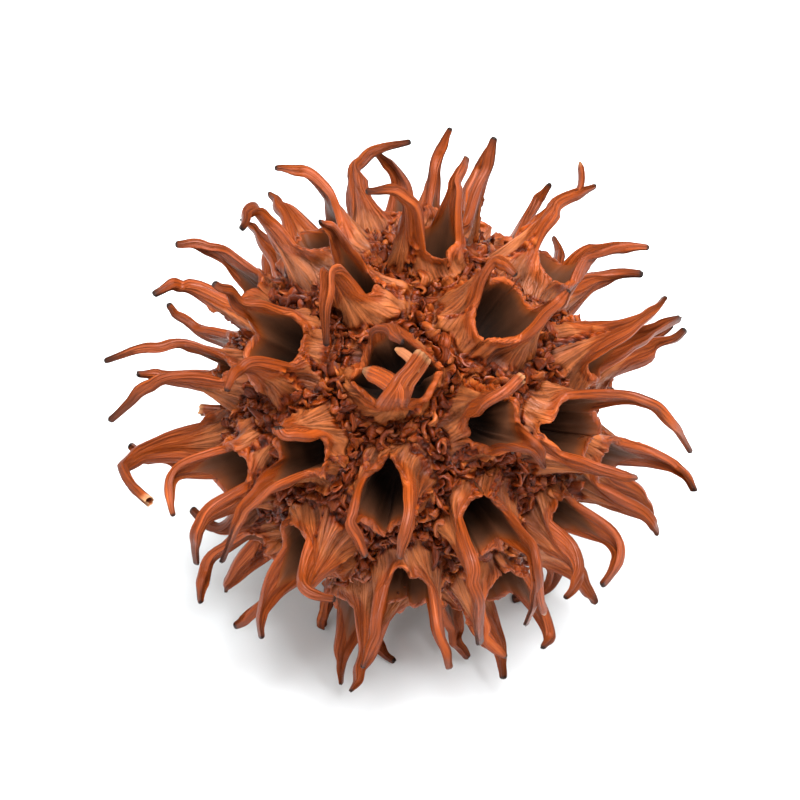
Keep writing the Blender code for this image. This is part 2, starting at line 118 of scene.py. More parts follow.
# The capsules of the front, with their places in millimetres to the right, up and near from
# the middle of the head: the mouth, the turn of the first valve round it in degrees, how far
# the mouth gapes, how far each beak arches before it bends over, and the two beak tips.
FRONT_CAPSULES = (
    ((6.5, 7.0, 12.2), 140, 1.05, 0.75, (7.7, 9.5, 15.6), 0.5, (11.4, 8.8, 14.6)),
    ((6.5, -1.7, 13.9), 130, 1.05, 0.5, (6.3, 1.6, 17.6), 0.5, (9.6, -4.2, 14.6)),
    ((-1.4, 2.3, 15.2), 275, 1.05, 0.9, (0.6, 2.2, 19.6), 0.4, (-0.3, 4.7, 19.2)),
    ((-5.6, 8.0, 12.0), 100, 1.0, 0.5, (-6.6, 13.6, 14.6), 0.6, (-5.9, 4.2, 16.8)),
    ((-14.2, 3.0, 5.4), 95, 0.9, 0.3, (-23.0, 3.6, 6.0), 0.3, (-22.6, -1.0, 5.4)),
    ((-7.6, -4.0, 13.0), 250, 1.0, 0.5, (-13.6, -11.0, 12.4), 0.4, (-9.4, -0.8, 16.0)),
    ((-12.9, -5.8, 6.6), 135, 0.9, 0.5, (-17.2, -8.0, 8.6), 0.5, (-15.6, -11.6, 7.6)),
    ((-15.4, -1.6, 1.0), 10, 0.9, 0.9, (-19.2, -6.6, 6.6), 0.5, (-21.6, -2.4, -3.0)),
    ((-2.4, -7.0, 13.6), 175, 0.8, 0.5, (-3.0, -10.6, 16.6), 0.5, (-0.9, -10.6, 16.6)),
    ((3.7, -8.7, 12.3), 190, 1.0, 0.5, (5.0, -17.0, 11.4), 0.5, (8.2, -15.8, 10.8)),
    ((11.8, -2.5, 9.7), 80, 1.05, 0.6, (20.6, -3.2, 8.6), 0.5, (16.6, -4.8, 11.2)),
    ((13.8, 4.0, 5.7), 170, 0.7, 0.5, (18.9, 8.6, 6.4), 0.5, (20.2, 7.0, 4.4)),
    ((10.4, 11.2, 2.8), 128, 1.0, 0.5, (13.9, 16.8, 4.4), 0.3, (18.0, 12.2, 3.2)),
    ((1.2, 13.4, 7.8), 215, 1.1, 0.7, (-3.6, 15.8, 12.4), 0.5, (4.2, 18.8, 7.6)),
    ((6.2, 13.2, -5.4), 60, 1.0, 0.5, (6.4, 20.6, -4.6), 0.5, (11.0, 17.8, -5.4)),
    ((-1.2, 14.9, -4.3), 15, 1.0, 0.4, (2.4, 21.6, -3.6), 0.4, (-3.2, 20.4, -5.6)),
    ((-8.4, 12.2, 4.5), 80, 1.0, 0.5, (-10.2, 18.0, 5.4), 0.5, (-12.4, 13.0, 10.0)),
    ((-13.0, 8.4, 0.9), 120, 1.0, 0.5, (-18.0, 12.6, 0.4), 0.5, (-19.4, 8.6, 3.8)),
    ((14.4, -5.3, 2.0), 60, 0.95, 0.5, (21.2, -6.0, 4.6), 0.5, (18.6, -9.4, 2.0)),
    ((11.5, -7.8, 7.0), 30, 0.9, 0.5, (13.6, -13.0, 9.6), 0.5, (10.9, -13.6, 11.0)),
    ((-0.5, -12.7, 8.9), 180, 1.1, 0.5, (-3.6, -18.8, 9.6), 0.5, (3.0, -18.9, 9.2)),
    ((-7.0, -10.4, 9.1), 200, 1.0, 0.5, (-10.8, -16.8, 9.2), 0.6, (-5.0, -13.4, 13.8)),
    ((-11.3, -10.4, 2.0), 100, 1.0, 0.5, (-15.6, -14.4, 3.4), 0.5, (-13.4, -16.2, 2.2)),
    ((6.7, -13.0, 5.2), 40, 1.0, 0.5, (9.6, -17.6, 6.4), 0.5, (7.2, -18.2, 5.6)),
)

# The fine surface
COLUMNS = 12  # columns for each step of a capsule's coarse ring
BAND_ROWS = 12  # rows of the seam's crust, from the groove to the foot of the wall
WALL_ROWS = 20
ROLL_ROWS = 5
ROOT_FLARE = 8  # columns that a beak's root takes in on either side of its plan
ROOT_COLUMNS = COLUMNS + 2 * ROOT_FLARE
CHAMBER_ROWS = 8
BEAK_ROWS = 20

# The crust beside the seams
CRUST_BULGE = 0.7  # under 1, the crust rises steeply beside the groove and is flat on top
CRUST_FADE = 0.07  # its lumps fade out over this share of the way to the foot of the wall
GROOVE_START = 0.9  # the groove takes up the rest of the way from here
GROOVE_SHADE = 0.93  # and is dark and smooth from here
GROOVE_WAVE = 1.1 * MM
GROOVE_DEPTH = 0.22 * MM  # how much deeper the groove is than its radius says
GROOVE_RELIEF = 1.0 * MM  # and how much that differs along it
CRUST_DROP = 0.1 * MM  # the crust lies this much lower, and the curled bits fill it up
SEAM_SWAY = 0.56 * MM  # how far a seam wanders off its straight way
SEAM_WAVE = 1.4 * MM
LUMP_SIZE = 1.0 * MM
LUMP_RELIEF = 0.75 * MM
CRUMPLE_SIZE = 0.62 * MM
CRUMPLE_RELIEF = 0.3 * MM
CRUST_FOLD = 0.5 * MM  # how far the crust is pushed about along the surface
LUMP_TONE, CRUMPLE_TONE, GROOVE_TONE = 1.4, 0.7, 0.7  # how strongly each shows in the relief's tone, painted as shade in the hollows and light on the tops

# The walls
CLIMB = 0.15  # the share of a wall's height that the crust climbs
CLIMB_SPREAD = 0.22
CLIMB_LUMPS = 0.75  # how high the lumps are there, against those beside the seams
WALL_LENGTH = 4.0 * MM  # along the fibres, from the foot to the rim
FIBRE_SPREAD = 0.14  # how narrow the fan of fibres is at the rim, against its width at the foot
FIBRE_COUNT = 13.0  # ridges from the middle of a valve to its corner
FIBRE_RELIEF = 0.12 * MM
# Two layers of ridges and one of pleats: how densely each divides the fibres and their length,
# and how high the ridges of that layer are
RIDGE_LAYERS = (((0.7, 0.16, 1.0), 0.7), ((1.7, 0.3, 1.0), 0.4))
PLEAT_LAYER = (0.17, 0.06, 1.0)
RIDGE_TONE, DENT_TONE, PLEAT_TONE = 0.5, 0.3, 0.4  # how strongly each shows in the relief's tone, painted as shade in the hollows and highlight on the crests
PLEAT_RELIEF = 0.34 * MM  # the broad folds that run up a wall into its beaks
DENT_SIZE = 1.5 * MM
DENT_RELIEF = 0.13 * MM
RIM_SWAY = 0.12  # how far a mouth's outline strays, as a share of its width
FINE_SWAY = 0.25  # and in shorter waves, as a share of that
RIM_WAVE = 0.45 * MM  # how far its height strays
RIM_RAGS = 0.05 * MM  # how ragged its edge is
EDGE_SWEEP = 2.0  # above 1, the edge stays low and then sweeps up into the beak
CORNER_PINCH = 1.75  # above 1, the mouth is pointed at its corners
CORNER_SPLIT = 0.6 * MM  # how far the two valves have split apart at a corner of the mouth
CORNER_SPLIT_WIDTH = 0.09
SUTURE_DEPTH = 0.2 * MM  # the line between the valves, down the outside of the wall
SUTURE_WIDTH = 0.07
MARGIN_GAP = 0.3  # how wide the gap in the thick margin is there
RIM_THIN = 0.28 * MM  # the wall's edge at the corners of a mouth
RIM_THICK = 0.48 * MM  # and beside the beaks
RIM_UNEVEN = 0.25  # how far its thickness there differs from place to place
# The rounded edge in shares of its way inwards and of its height
RIM_PROFILE = ((0.1, 0.55), (0.32, 0.95), (0.6, 1.0), (0.86, 0.6), (1.0, 0.0))
RIM_ROLL = 0.36  # how far the edge's crest stands above the wall, as a share of its width
RIM_ROUGH = 0.25
MARGIN_RISE = (0.62, 0.84)  # the smooth thick margin below the edge starts here
MARGIN_RELIEF = 0.09 * MM
MARGIN_AGE = 0.3  # it has the warmer tone of the beaks
CHAMBER_WALL = 0.75 * MM  # the least wood between the chamber and the foot of the wall
CHAMBER_FULLNESS = 0.55  # under 1, the chamber stays wide further down
KEEL_RADII = (8.8 * MM, 9.3 * MM, 12.3 * MM)  # the closed underside below a groove, upwards
KEEL_SHARES = (0.0, 0.94, 0.985)

# How fast the noise of each unevenness changes round a capsule
SWAY_WAVES, THICKNESS_WAVES, CLIMB_WAVES, FINE_SWAY_WAVES = 1.3, 2.4, 2.6, 3.4
RAG_WAVES, ROUGH_WAVES = 8.0, 12.0
# Places in the noise, which set one use of it apart from the others
GROOVE_AT, CRUMPLE_AT, ROUGH_AT, PLEAT_AT = 5.0, 9.0, 17.0, 20.0
RIM_WAVE_AT, FINE_SWAY_AT, CLIMB_AT, THICKNESS_AT = 31.0, 43.0, 67.0, 83.0
KINKS_AT, PUSH_AT = 10.0 * MM, 40.0 * MM
BEAKS_APART, WALLS_APART = 30.0 * MM, 50.0 * MM

# The fine shape of the beaks
SECTION_POWER = 7.0  # 2 is an ellipse, and more is squarer
GUTTER_DEPTH = 0.5  # shares of the beak's thickness
CURL = 0.25
GUTTER_WIDTH = 0.4  # a share of half the beak's width
GUTTER_FADE = (0.75, 0.35)  # from here on along the beak, the gutter has this share of its depth
# How dark the gutter is painted, as shade in its hollow
GUTTER_TONE = 2.2
EDGE_SHARE = 0.6  # the painted shade along each edge starts here, as a share of half the width
BEAK_FIBRE = 0.075 * MM
BEAK_FIBRES = (0.45, 0.14, 1.0)  # how densely they divide the fibres and their length
TIP_TAPERS = (0.3, 0.65)  # how much of its width a whole beak loses towards its tip
# How dark the edges of a beak are painted, as shade on its sides
EDGE_DARKNESS = 0.9
TIP_THICKNESSES = (0.8, 1.1)  # shares of the thickness at the root
BEAK_TWIST = 50.0  # the most that a beak turns about its own line, in degrees
BEAK_WOBBLE, WOBBLE_SIZE = 0.2 * MM, 2.6 * MM
BEAK_KINK, KINK_SIZE = 0.6 * MM, 3.0 * MM
BEAK_BENDS = (1.0, 2.1)  # above 1, a beak is straighter and bends in a shorter piece
BEAK_BREADTHS = (0.66, 0.98)  # shares of the planned width

# Beaks that are listed, by the numbers of the capsule and of the beak: how broad each is,
# as a share of the planned width, and where it ends, in millimetres to the right, up and near
SET_BEAKS = {
    (1, 0): (1.3, (7.8, 2.5, 17.8)),
    (2, 0): (1.9, (0.9, 3.9, 18.9)),
    (15, 0): (0.85, (0.4, 20.8, -4.2)),
    (41, 0): (0.85, (3.1, 21.3, 3.7)),
}
# The side branches of forked beaks: the capsule and the beak, how far along the beak each starts,
# its width in millimetres, its end, and how pale and torn it is
BRANCHES = (
    (2, 0, 0.3, 1.5, (-3.3, 3.0, 18.0), 0.0),
    (2, 0, 0.85, 0.9, (-1.1, 4.5, 18.9), 0.3),
    (12, 0, 0.6, 0.7, (12.6, 18.6, 4.2), 0.0),
    (9, 1, 0.6, 0.7, (9.7, -14.6, 11.6), 0.0),
)
BRANCH_ROWS = 9
BRANCH_COLUMNS = 14
BRANCH_BEND = 0.4  # how far it grows straight on before it bends, against its reach
BRANCH_FIBRES = (0.6, 0.3, 1.0)
BRANCH_RELIEF = 0.12  # a share of its width
BRANCH_TIP = 0.86  # its tip is rounded off from here on
BEAK_SWELL = 0.16  # how far a beak's breadth differs along it
FORM_SHARE = 0.6  # the share of a beak's length over which its root becomes a strap
ROOT_NARROWING = 1.9  # the higher, the faster it narrows
POINT_START = 0.6  # from here on a whole beak tapers to its point
HOLLOW_CHANCE = 0.06  # beaks broken off, with a hollow end
HOLLOW_BEAKS = ((1, 0), (2, 0))  # and two that are certain to be
DARKENING = 0.7  # how much sooner or later than others a beak turns dark towards its tip
# The rows that close a beak: the size of each, and how far ahead it lies in shares of the length
CAP_LENGTH, CAP_STEPS = 0.22 * MM, ((0.86, 0.45), (0.55, 0.85))
HOLLOW_LENGTH, HOLLOW_STEPS = 0.45 * MM, ((0.86, 0.04), (0.7, -0.25), (0.5, -1.0))
HOLLOW_RAGS, HOLLOW_RAG_SIZE = 0.2 * MM, 0.22 * MM

# The pieces go round the pod, each with an equal number of capsules
PIECE_NAMES = (
    "capsules_left_front",
    "capsules_front",
    "capsules_right_front",
    "capsules_right_back",
    "capsules_back",
    "capsules_left_back",
)
TORN_DRAW, CURL_DRAW, DRIFT_DRAW = range(SEED + 4, SEED + 7)

# The curled strips that stand on the crust, in metres, with how many there may be on a square
# metre before they are thinned to their spacing
CURLS = {
    "Spacing": 0.7 * MM,
    "Density": 1.2e7,
    "Length": 1.5 * MM,
    "Width": 0.62 * MM,
    "Thickness": 0.26 * MM,
    "Lift": 0.2 * MM,
    "Crumple": 1.25 * MM,
    "Crumple Scale": 1.0 / (1.0 * MM),
    "Seed": CURL_DRAW,
}
CURL_BENDS = (-1.4, 0.6, 1.3, 1.9)  # how far a strip's ends are bent, in radians
CURL_CUTS = {"Vertices X": 8, "Vertices Y": 3, "Vertices Z": 2}
CURL_NARROWING = 0.75  # how much narrower a strip is at its ends
CURL_ROUNDING = 0.55  # how much thinner it is at its edges
CURL_FIBRE = 0.22 * MM
# What is drawn for each strip: the size and the turn about each of its ways, its tone and its bend
CURL_DRAWS = (
    ("FLOAT_VECTOR", (0.3, 0.45, 0.6), (1.6, 1.8, 1.6)),
    ("FLOAT_VECTOR", (-0.55, -0.45, 0.0), (0.55, 0.45, math.tau)),
    ("FLOAT", 0.0, 1.0),
    ("INT", 0, len(CURL_BENDS) - 1),
)
CURLS_APART = 60.0  # between the fibres of two strips, so that each has its own
CURL_CRUST = 0.7  # how much of the crust's tone a strip has

# Painted shade: the wood is darker the deeper it lies between the capsules, down to a share of a dark brown
DEEP_SHADE_RADII = (12.8 * MM, 16.6 * MM)
DEEP_SHADE = 0.66
# Colours by the tone of the fibres; by the height in the crust, which paints shade into the cracks and light
# onto the tops of the lumps; and by the depth in a chamber, which paints shade towards its bottom
FIBRE_TONES = ((0.37, "#491803"), (0.45, "#7b3209"), (0.54, "#a04512"), (0.63, "#bf622a"))
CRUST_TONES = ((0.08, "#220600"), (0.34, "#662003"), (0.6, "#9c3e0e"), (0.92, "#c0642a"))
LINING_TONES = ((0.0, "#7a3a14"), (0.1, "#5e3824"), (0.35, "#40291c"), (0.6, "#1e120b"), (0.85, "#0e0805"))

# The kinds of node that are used most
MATH = "ShaderNodeMath"
VECTORS = "ShaderNodeVectorMath"
RANGE = "ShaderNodeMapRange"
RAMP = "ShaderNodeValToRGB"
NOISE = "ShaderNodeTexNoise"
ATTRIBUTE = "ShaderNodeAttribute"
JOIN = "ShaderNodeCombineXYZ"
STORE = "GeometryNodeStoreNamedAttribute"
STORED = "GeometryNodeInputNamedAttribute"
RANDOM = "FunctionNodeRandomValue"

# The studio: where each lamp stands, how wide it is and its power in watts
LIGHTS = {
    "key": ((0.07, -0.06, 0.50), 0.42, 7.2),
    "spark": ((0.20, -0.34, 0.40), 0.07, 0.5),
    "fill": ((-0.26, -0.44, 0.34), 0.5, 1.4),
}
WORLD_STRENGTH = 0.49
CAMERA_LENS = 150.0
POD_IN_VIEW = 0.74  # the share of the view's width that the pod takes
FLOOR_HALF = 1.5  # metres


def front_to_world():
    """Turns places given as right, up and near into the world's axes."""
    right = Vector((1.0, 0.0, 0.0))
    up = Vector((0.0, math.sin(FRONT_TILT), math.cos(FRONT_TILT)))
    near = Vector((0.0, -math.cos(FRONT_TILT), math.sin(FRONT_TILT)))
    return Matrix((right, up, near)).transposed()


def random_direction(draw):
    height = draw.uniform(-1.0, 1.0)
    turn = draw.uniform(0.0, math.tau)
    flat = math.sqrt(1.0 - height * height)
    return Vector((flat * math.cos(turn), flat * math.sin(turn), height))


def relax(axes, held):
    """Pushes the axes apart over the ball. The first ones are held and give way only a little."""
    for _ in range(RELAX_ROUNDS):
        moved = []
        for index, axis in enumerate(axes):
            push = Vector()
            for other in axes:
                gap = axis - other
                if gap.length > 1e-6:
                    push += gap / gap.length**4
            push -= axis * push.dot(axis)
            step = RELAX_STEP * (HELD_SHARE if index < held else 1.0)
            moved.append((axis + push * step).normalized())
        axes = moved
    return axes


def capsule_axes(turn_front):
    """The listed axes first, then the rest of the ball filled with the widest gap taken first."""
    draw = random.Random(FRAME_DRAW)
    axes = [(turn_front @ Vector(row[0])).normalized() for row in FRONT_CAPSULES]
    while len(axes) < CAPSULE_COUNT:
        tries = [random_direction(draw) for _ in range(CANDIDATES)]
        axes.append(max(tries, key=lambda way: min((way - axis).length for axis in axes)))
    return relax(axes, len(FRONT_CAPSULES))


def cells(axes):
    """Splits the ball into one cell for each axis, and returns each cell's groove as a ring.

    The corners of the cells lie over the middles of the triangles between neighbouring axes.
    Two cells that meet share their points.
    """
    draw = random.Random(SEAM_DRAW)
    hull = bmesh.new()
    for axis in axes:
        hull.verts.new(axis)
    bmesh.ops.convex_hull(hull, input=hull.verts)
    hull.verts.ensure_lookup_table()
    hull.faces.index_update()

    def groove_point(way, rise):
        spread = draw.uniform(-RELIEF_SPREAD, RELIEF_SPREAD)
        return way.normalized() * (SEAM_RADIUS + SEAM_RELIEF * rise + spread)

    corners = {face.index: groove_point(face.calc_center_median(), -1) for face in hull.faces}
    seams = {}
    for edge in hull.edges:
        start, end = (face.index for face in edge.link_faces)
        seam = []
        for step in range(1, POINTS_PER_SEAM):
            way = corners[start].lerp(corners[end], step / POINTS_PER_SEAM)
            seam.append(groove_point(way, 1 if step % 2 else -1))
        seams[start, end] = seam
        seams[end, start] = seam[::-1]

    rings = []
    for axis, vert in zip(axes, hull.verts):
        across = axis.orthogonal().normalized()
        side = axis.cross(across)
        order = sorted(
            (face.index for face in vert.link_faces),
            key=lambda index: math.atan2(corners[index].dot(side), corners[index].dot(across)),
        )
        ring = []
        for here, there in zip(order, order[1:] + order[:1]):
            ring.append(corners[here])
            ring.extend(seams[here, there])
        rings.append(ring)
    hull.free()
    return rings


def rim_angles(count):
    """Angles round a mouth, with two columns to carry each beak and the others spread evenly."""
    root = math.asin(0.5 * BEAK_ROOT_WIDTH / MOUTH_ALONG)
    half = count // 2
    step = (math.pi - 2.0 * root) / (half - 1)
    first = [root + step * index for index in range(half)]
    return first + [angle + math.pi for angle in first]


class Capsule:
    """One capsule: its axes, its cell and the shape of its walls."""

    def __init__(self, axis, turn_from, turn, gape, ring):
        start = (turn_from - axis * turn_from.dot(axis)).normalized()
        self.axis = axis
        self.valve = Matrix.Rotation(turn, 3, axis) @ start
        self.side = axis.cross(self.valve)
        self.gape = gape
        self.angles = rim_angles(len(ring))
        self.ring = self.matched(ring)
        self.size = self.fitted()
        self.tips = []

    def flat(self, point):
        return point.dot(self.valve), point.dot(self.side)

    def matched(self, ring):
        """Turns the ring's order so that its points stand under the columns of the rim."""

        def twist(shift):
            total = 0.0
            for index, angle in enumerate(self.angles):
                across, along = self.flat(ring[(index + shift) % len(ring)])
                off = math.atan2(along, across) - angle
                total += 1.0 - math.cos(off)
            return total

        best = min(range(len(ring)), key=twist)
        return ring[best:] + ring[:best]

    def fitted(self):
        """The share of its full size that keeps the mouth well inside the cell."""
        room = []
        for point, angle in zip(self.ring, self.angles):
            width = Vector(self.flat(point)).length * CORNER_RADIUS / SEAM_RADIUS
            mouth = Vector(self.mouth_point(angle, 0.0, 1.0)).length
            room.append(MOUTH_IN_CELL * width / mouth)
        return min(1.0, sum(room) / len(room), TIGHT_SIDE * min(room))

    def mouth_point(self, angle, inset, size):
        across = (MOUTH_ACROSS * self.gape * size - inset) * math.cos(angle)
        along = (MOUTH_ALONG * size - inset) * math.sin(angle)
        return across, along

    def place(self, across, along, height):
        return self.valve * across + self.side * along + self.axis * height

    def rim_height(self, angle):
        climb = (1.0 - abs(math.sin(angle))) ** PEAK_SHARPNESS
        return CORNER_RADIUS + PEAK_RISE * climb

    def outer_rim(self, angle):
        return self.place(*self.mouth_point(angle, 0.0, self.size), self.rim_height(angle))

    def inner_rim(self, angle):
        height = self.rim_height(angle) - RIM_SLOPE
        return self.place(*self.mouth_point(angle, WALL, self.size), height)


def root_of(capsule, beak):
    """The middle of a beak's root, the way it grows and the way out from the mouth."""
    angle = math.pi * beak
    outward = capsule.valve * math.cos(angle)
    middle = (capsule.outer_rim(angle) + capsule.inner_rim(angle)) / 2.0
    growth = (capsule.axis + outward * GROWTH_LEAN * capsule.gape).normalized()
    return middle, growth, outward


def beak_line(capsule, beak, tip, arch, count):
    """Points along a beak: it grows straight out of the valve and bends towards its tip."""
    root, growth, _ = root_of(capsule, beak)
    bend = root + growth * (tip - root).length * arch
    points = []
    for index in range(count + 1):
        share = index / count
        points.append(root.lerp(bend, share).lerp(bend.lerp(tip, share), share))
    return points


def clear_of(line, others):
    """Whether a beak's line keeps its distance from all the others."""
    for other in others:
        for here in line:
            if any((here - there).length < BEAK_CLEARANCE for there in other):
                return False
    return True


def grown_tip(capsule, beak, draw):
    """A tip for a beak that the list doesn't give."""
    root, growth, outward = root_of(capsule, beak)
    lean = math.radians(draw.uniform(*BEAK_LEANS))
    sway = math.radians(draw.uniform(-BEAK_SWAY, BEAK_SWAY))
    way = growth * math.cos(lean) + outward * math.sin(lean)
    way = way + growth.cross(outward) * math.tan(sway)
    lengths = STUB_LENGTHS if draw.random() < STUB_CHANCE else BEAK_LENGTHS
    tip = root + way.normalized() * draw.uniform(*lengths)
    return tip * min(1.0, BEAK_REACH / tip.length)


def wished_beaks(capsules, turn_front, draw):
    """Every beak with the tip and arch that the list gives, or ones drawn for it."""
    wishes = []
    for index, capsule in enumerate(capsules):
        for beak in (0, 1):
            if index < len(FRONT_CAPSULES):
                row = FRONT_CAPSULES[index]
                tip = turn_front @ (Vector(row[4 + 2 * beak]) * MM)
                wishes.append((capsule, beak, tip, row[3 + 2 * beak]))
            else:
                tip = grown_tip(capsule, beak, draw)
                wishes.append((capsule, beak, tip, draw.uniform(*BEAK_ARCHES)))
    return wishes


def rest_beaks(wishes):
    """The three beaks that carry the head, spread round its weight."""
    feet = []
    for turn in REST_TURNS:
        flat = math.sin(REST_SPREAD)
        wanted = Vector((flat * math.cos(turn), flat * math.sin(turn), -math.cos(REST_SPREAD)))
        free = [wish[:2] for wish in wishes if wish[:2] not in feet]
        feet.append(max(free, key=lambda wish: root_of(*wish)[0].normalized().dot(wanted)))
    return feet


def tip_places(capsule, tip, on_surface):
    """The wished place of a tip and those round it, the nearest first."""
    steps = range(-TIP_STEPS, TIP_STEPS + 1)
    moves = sorted(((a, b) for a in steps for b in steps), key=lambda move: math.hypot(*move))
    for across, along in moves:
        place = tip + (capsule.valve * across + capsule.side * along) * TIP_STEP
        place.z = -REST_DROP if on_surface else max(place.z, REST_CLEARANCE - REST_DROP)
        yield place


def settle_beaks(capsules, turn_front, draw):
    """Gives every beak its tip and arch, and keeps the beaks out of each other."""
    wishes = wished_beaks(capsules, turn_front, draw)
    feet = rest_beaks(wishes)
    lines = []
    for capsule, beak, tip, arch in wishes:
        on_surface = (capsule, beak) in feet
        if on_surface:
            root = root_of(capsule, beak)[0]
            tip = Vector((root.x, root.y, 0.0)).normalized() * REST_REACH
        for place in tip_places(capsule, tip, on_surface):
            line = beak_line(capsule, beak, place, arch, 2 * BEAK_SPANS)
            if clear_of(line, lines):
                break
        lines.append(line)
        capsule.tips.append((place, arch, on_surface))


def build_capsules():
    draw = random.Random(BEAK_DRAW)
    turn_front = front_to_world()
    axes = capsule_axes(turn_front)
    up = turn_front @ Vector((0.0, 1.0, 0.0))
    capsules = []
    for index, (axis, ring) in enumerate(zip(axes, cells(axes))):
        if index < len(FRONT_CAPSULES):
            turn, gape = math.radians(FRONT_CAPSULES[index][1]), FRONT_CAPSULES[index][2]
        else:
            turn, gape = draw.uniform(0.0, math.tau), draw.uniform(*GAPES)
        capsules.append(Capsule(axis, up.cross(axis), turn, gape, ring))
    settle_beaks(capsules, turn_front, draw)
    return capsules


def resting_place(capsules):
    """The point of the surface below the middle of the box round all beaks."""
    points = []
    for capsule in capsules:
        for beak, (tip, arch, _) in enumerate(capsule.tips):
            points += beak_line(capsule, beak, tip, arch, BEAK_SPANS)
    across = [point.x for point in points]
    deep = [point.y for point in points]
    return Vector(((max(across) + min(across)) / 2.0, (max(deep) + min(deep)) / 2.0, -REST_DROP))


def share_of(value, low, high):
    """0 up to low, 1 from high on, and a smooth step between them."""
    step = np.clip((value - low) / (high - low), 0.0, 1.0)
    return step * step * (3.0 - 2.0 * step)


def unit(vectors):
    return vectors / np.linalg.norm(vectors, axis=-1, keepdims=True)


def ripple(points, size, shift=0.0):
    """Smooth noise from about -1 to 1, with waves of the given size."""
    places = (points / size + shift).reshape(-1, 3).tolist()
    return np.array([noise.noise(place) for place in places]).reshape(points.shape[:-1])


def drift(points, size):
    """A smooth random vector at each point."""
    places = (points / size).reshape(-1, 3).tolist()
    return np.array([tuple(noise.noise_vector(place)) for place in places]).reshape(points.shape)


def ridged(points, size):
    """Noise with sharp crests at 1 and round hollows down to about -1."""
    return 1.0 - 3.4 * np.abs(ripple(points, size))


def lumps(points, size):
    """Heights from 0 in the cracks between lumps to about 1 on top of them."""
    heights = []
    for place in (points / size).reshape(-1, 3).tolist():
        reach = noise.voronoi(place)[0]
        heights.append(reach[1] - reach[0])
    return np.array(heights).reshape(points.shape[:-1])


def crumpled(places):
    """The heights of a shrivelled crust: its lumps, and the sharp folds on them."""
    places = places + drift(places, 0.9 * LUMP_SIZE) * CRUST_FOLD
    rough = lumps(places, LUMP_SIZE) - 0.35
    fine = 0.6 * ridged(places, CRUMPLE_SIZE) + 0.4 * ridged(places + CRUMPLE_AT, 0.45 * CRUMPLE_SIZE)
    return rough, fine


class Skin:
    """Collects the points of a surface with what its material needs to know about them.

    grain: the number of the fibre, the way along it in mm, and a number for the capsule
    relief: -1 in hollows and 1 on ridges, which the material paints as shade and highlight
    age: 0 at the root of a beak and 1 at its darkened tip
    torn: 1 where the pale inner wood shows
    depth: 0 at the rim and 1 at the bottom of a chamber
    crust: 1 on the crust of the seams
    """

    EXTRAS = ("relief", "age", "torn", "depth", "crust")

    def __init__(self):
        self.points = []
        self.grain = []
        self.extras = {name: [] for name in self.EXTRAS}
        self.faces = []
        self.linings = []
        self.count = 0

    def add(self, points, grain, **extras):
        """Adds a row of points and returns their numbers."""
        count = len(points)
        self.points.append(points)
        self.grain.append(grain)
        for name in self.EXTRAS:
            self.extras[name].append(np.broadcast_to(extras.get(name, 0.0), count))
        self.count += count
        return np.arange(self.count - count, self.count)

    def quads(self, lower, upper, lining=0, kept=None):
        """Joins two closed rows, except where kept is false."""
        faces = np.stack((lower, np.roll(lower, -1), np.roll(upper, -1), upper), axis=1)
        if kept is not None:
            faces = faces[kept]
        self.faces += faces.tolist()
        self.linings += [lining] * len(faces)

    def fan(self, row, end, lining=0, inside_out=False):
        """Joins a closed row to one point."""
        pairs = zip(row.tolist(), np.roll(row, -1).tolist())
        faces = [(after, here, end) if inside_out else (here, after, end) for here, after in pairs]
        self.faces += faces
        self.linings += [lining] * len(faces)

    def close(self, row, end, grain, lining=0, **extras):
        """Adds a last point and joins the row to it."""
        last = self.add(end[None], grain[None], **extras)
        self.fan(row, int(last[0]), lining)

    def mesh(self, name, shift):
        """The mesh, without the points that no face uses."""
        used = np.unique(np.concatenate([np.array(face) for face in self.faces]))
        numbers = np.zeros(self.count, int)
        numbers[used] = np.arange(len(used))
        points = np.clip(np.concatenate(self.points)[used] + shift, *BOX_INSIDE)
        faces = [tuple(numbers[list(face)].tolist()) for face in self.faces]
        data = bpy.data.meshes.new(name)
        data.from_pydata(points.tolist(), [], faces)
        data.polygons.foreach_set("material_index", self.linings)
        data.shade_smooth()
        grain = data.attributes.new("grain", "FLOAT_VECTOR", "POINT")
        grain.data.foreach_set("vector", np.concatenate(self.grain)[used].ravel())
        for extra, parts in self.extras.items():
            attribute = data.attributes.new(extra, "FLOAT", "POINT")
            attribute.data.foreach_set("value", np.concatenate(parts)[used])
        return data


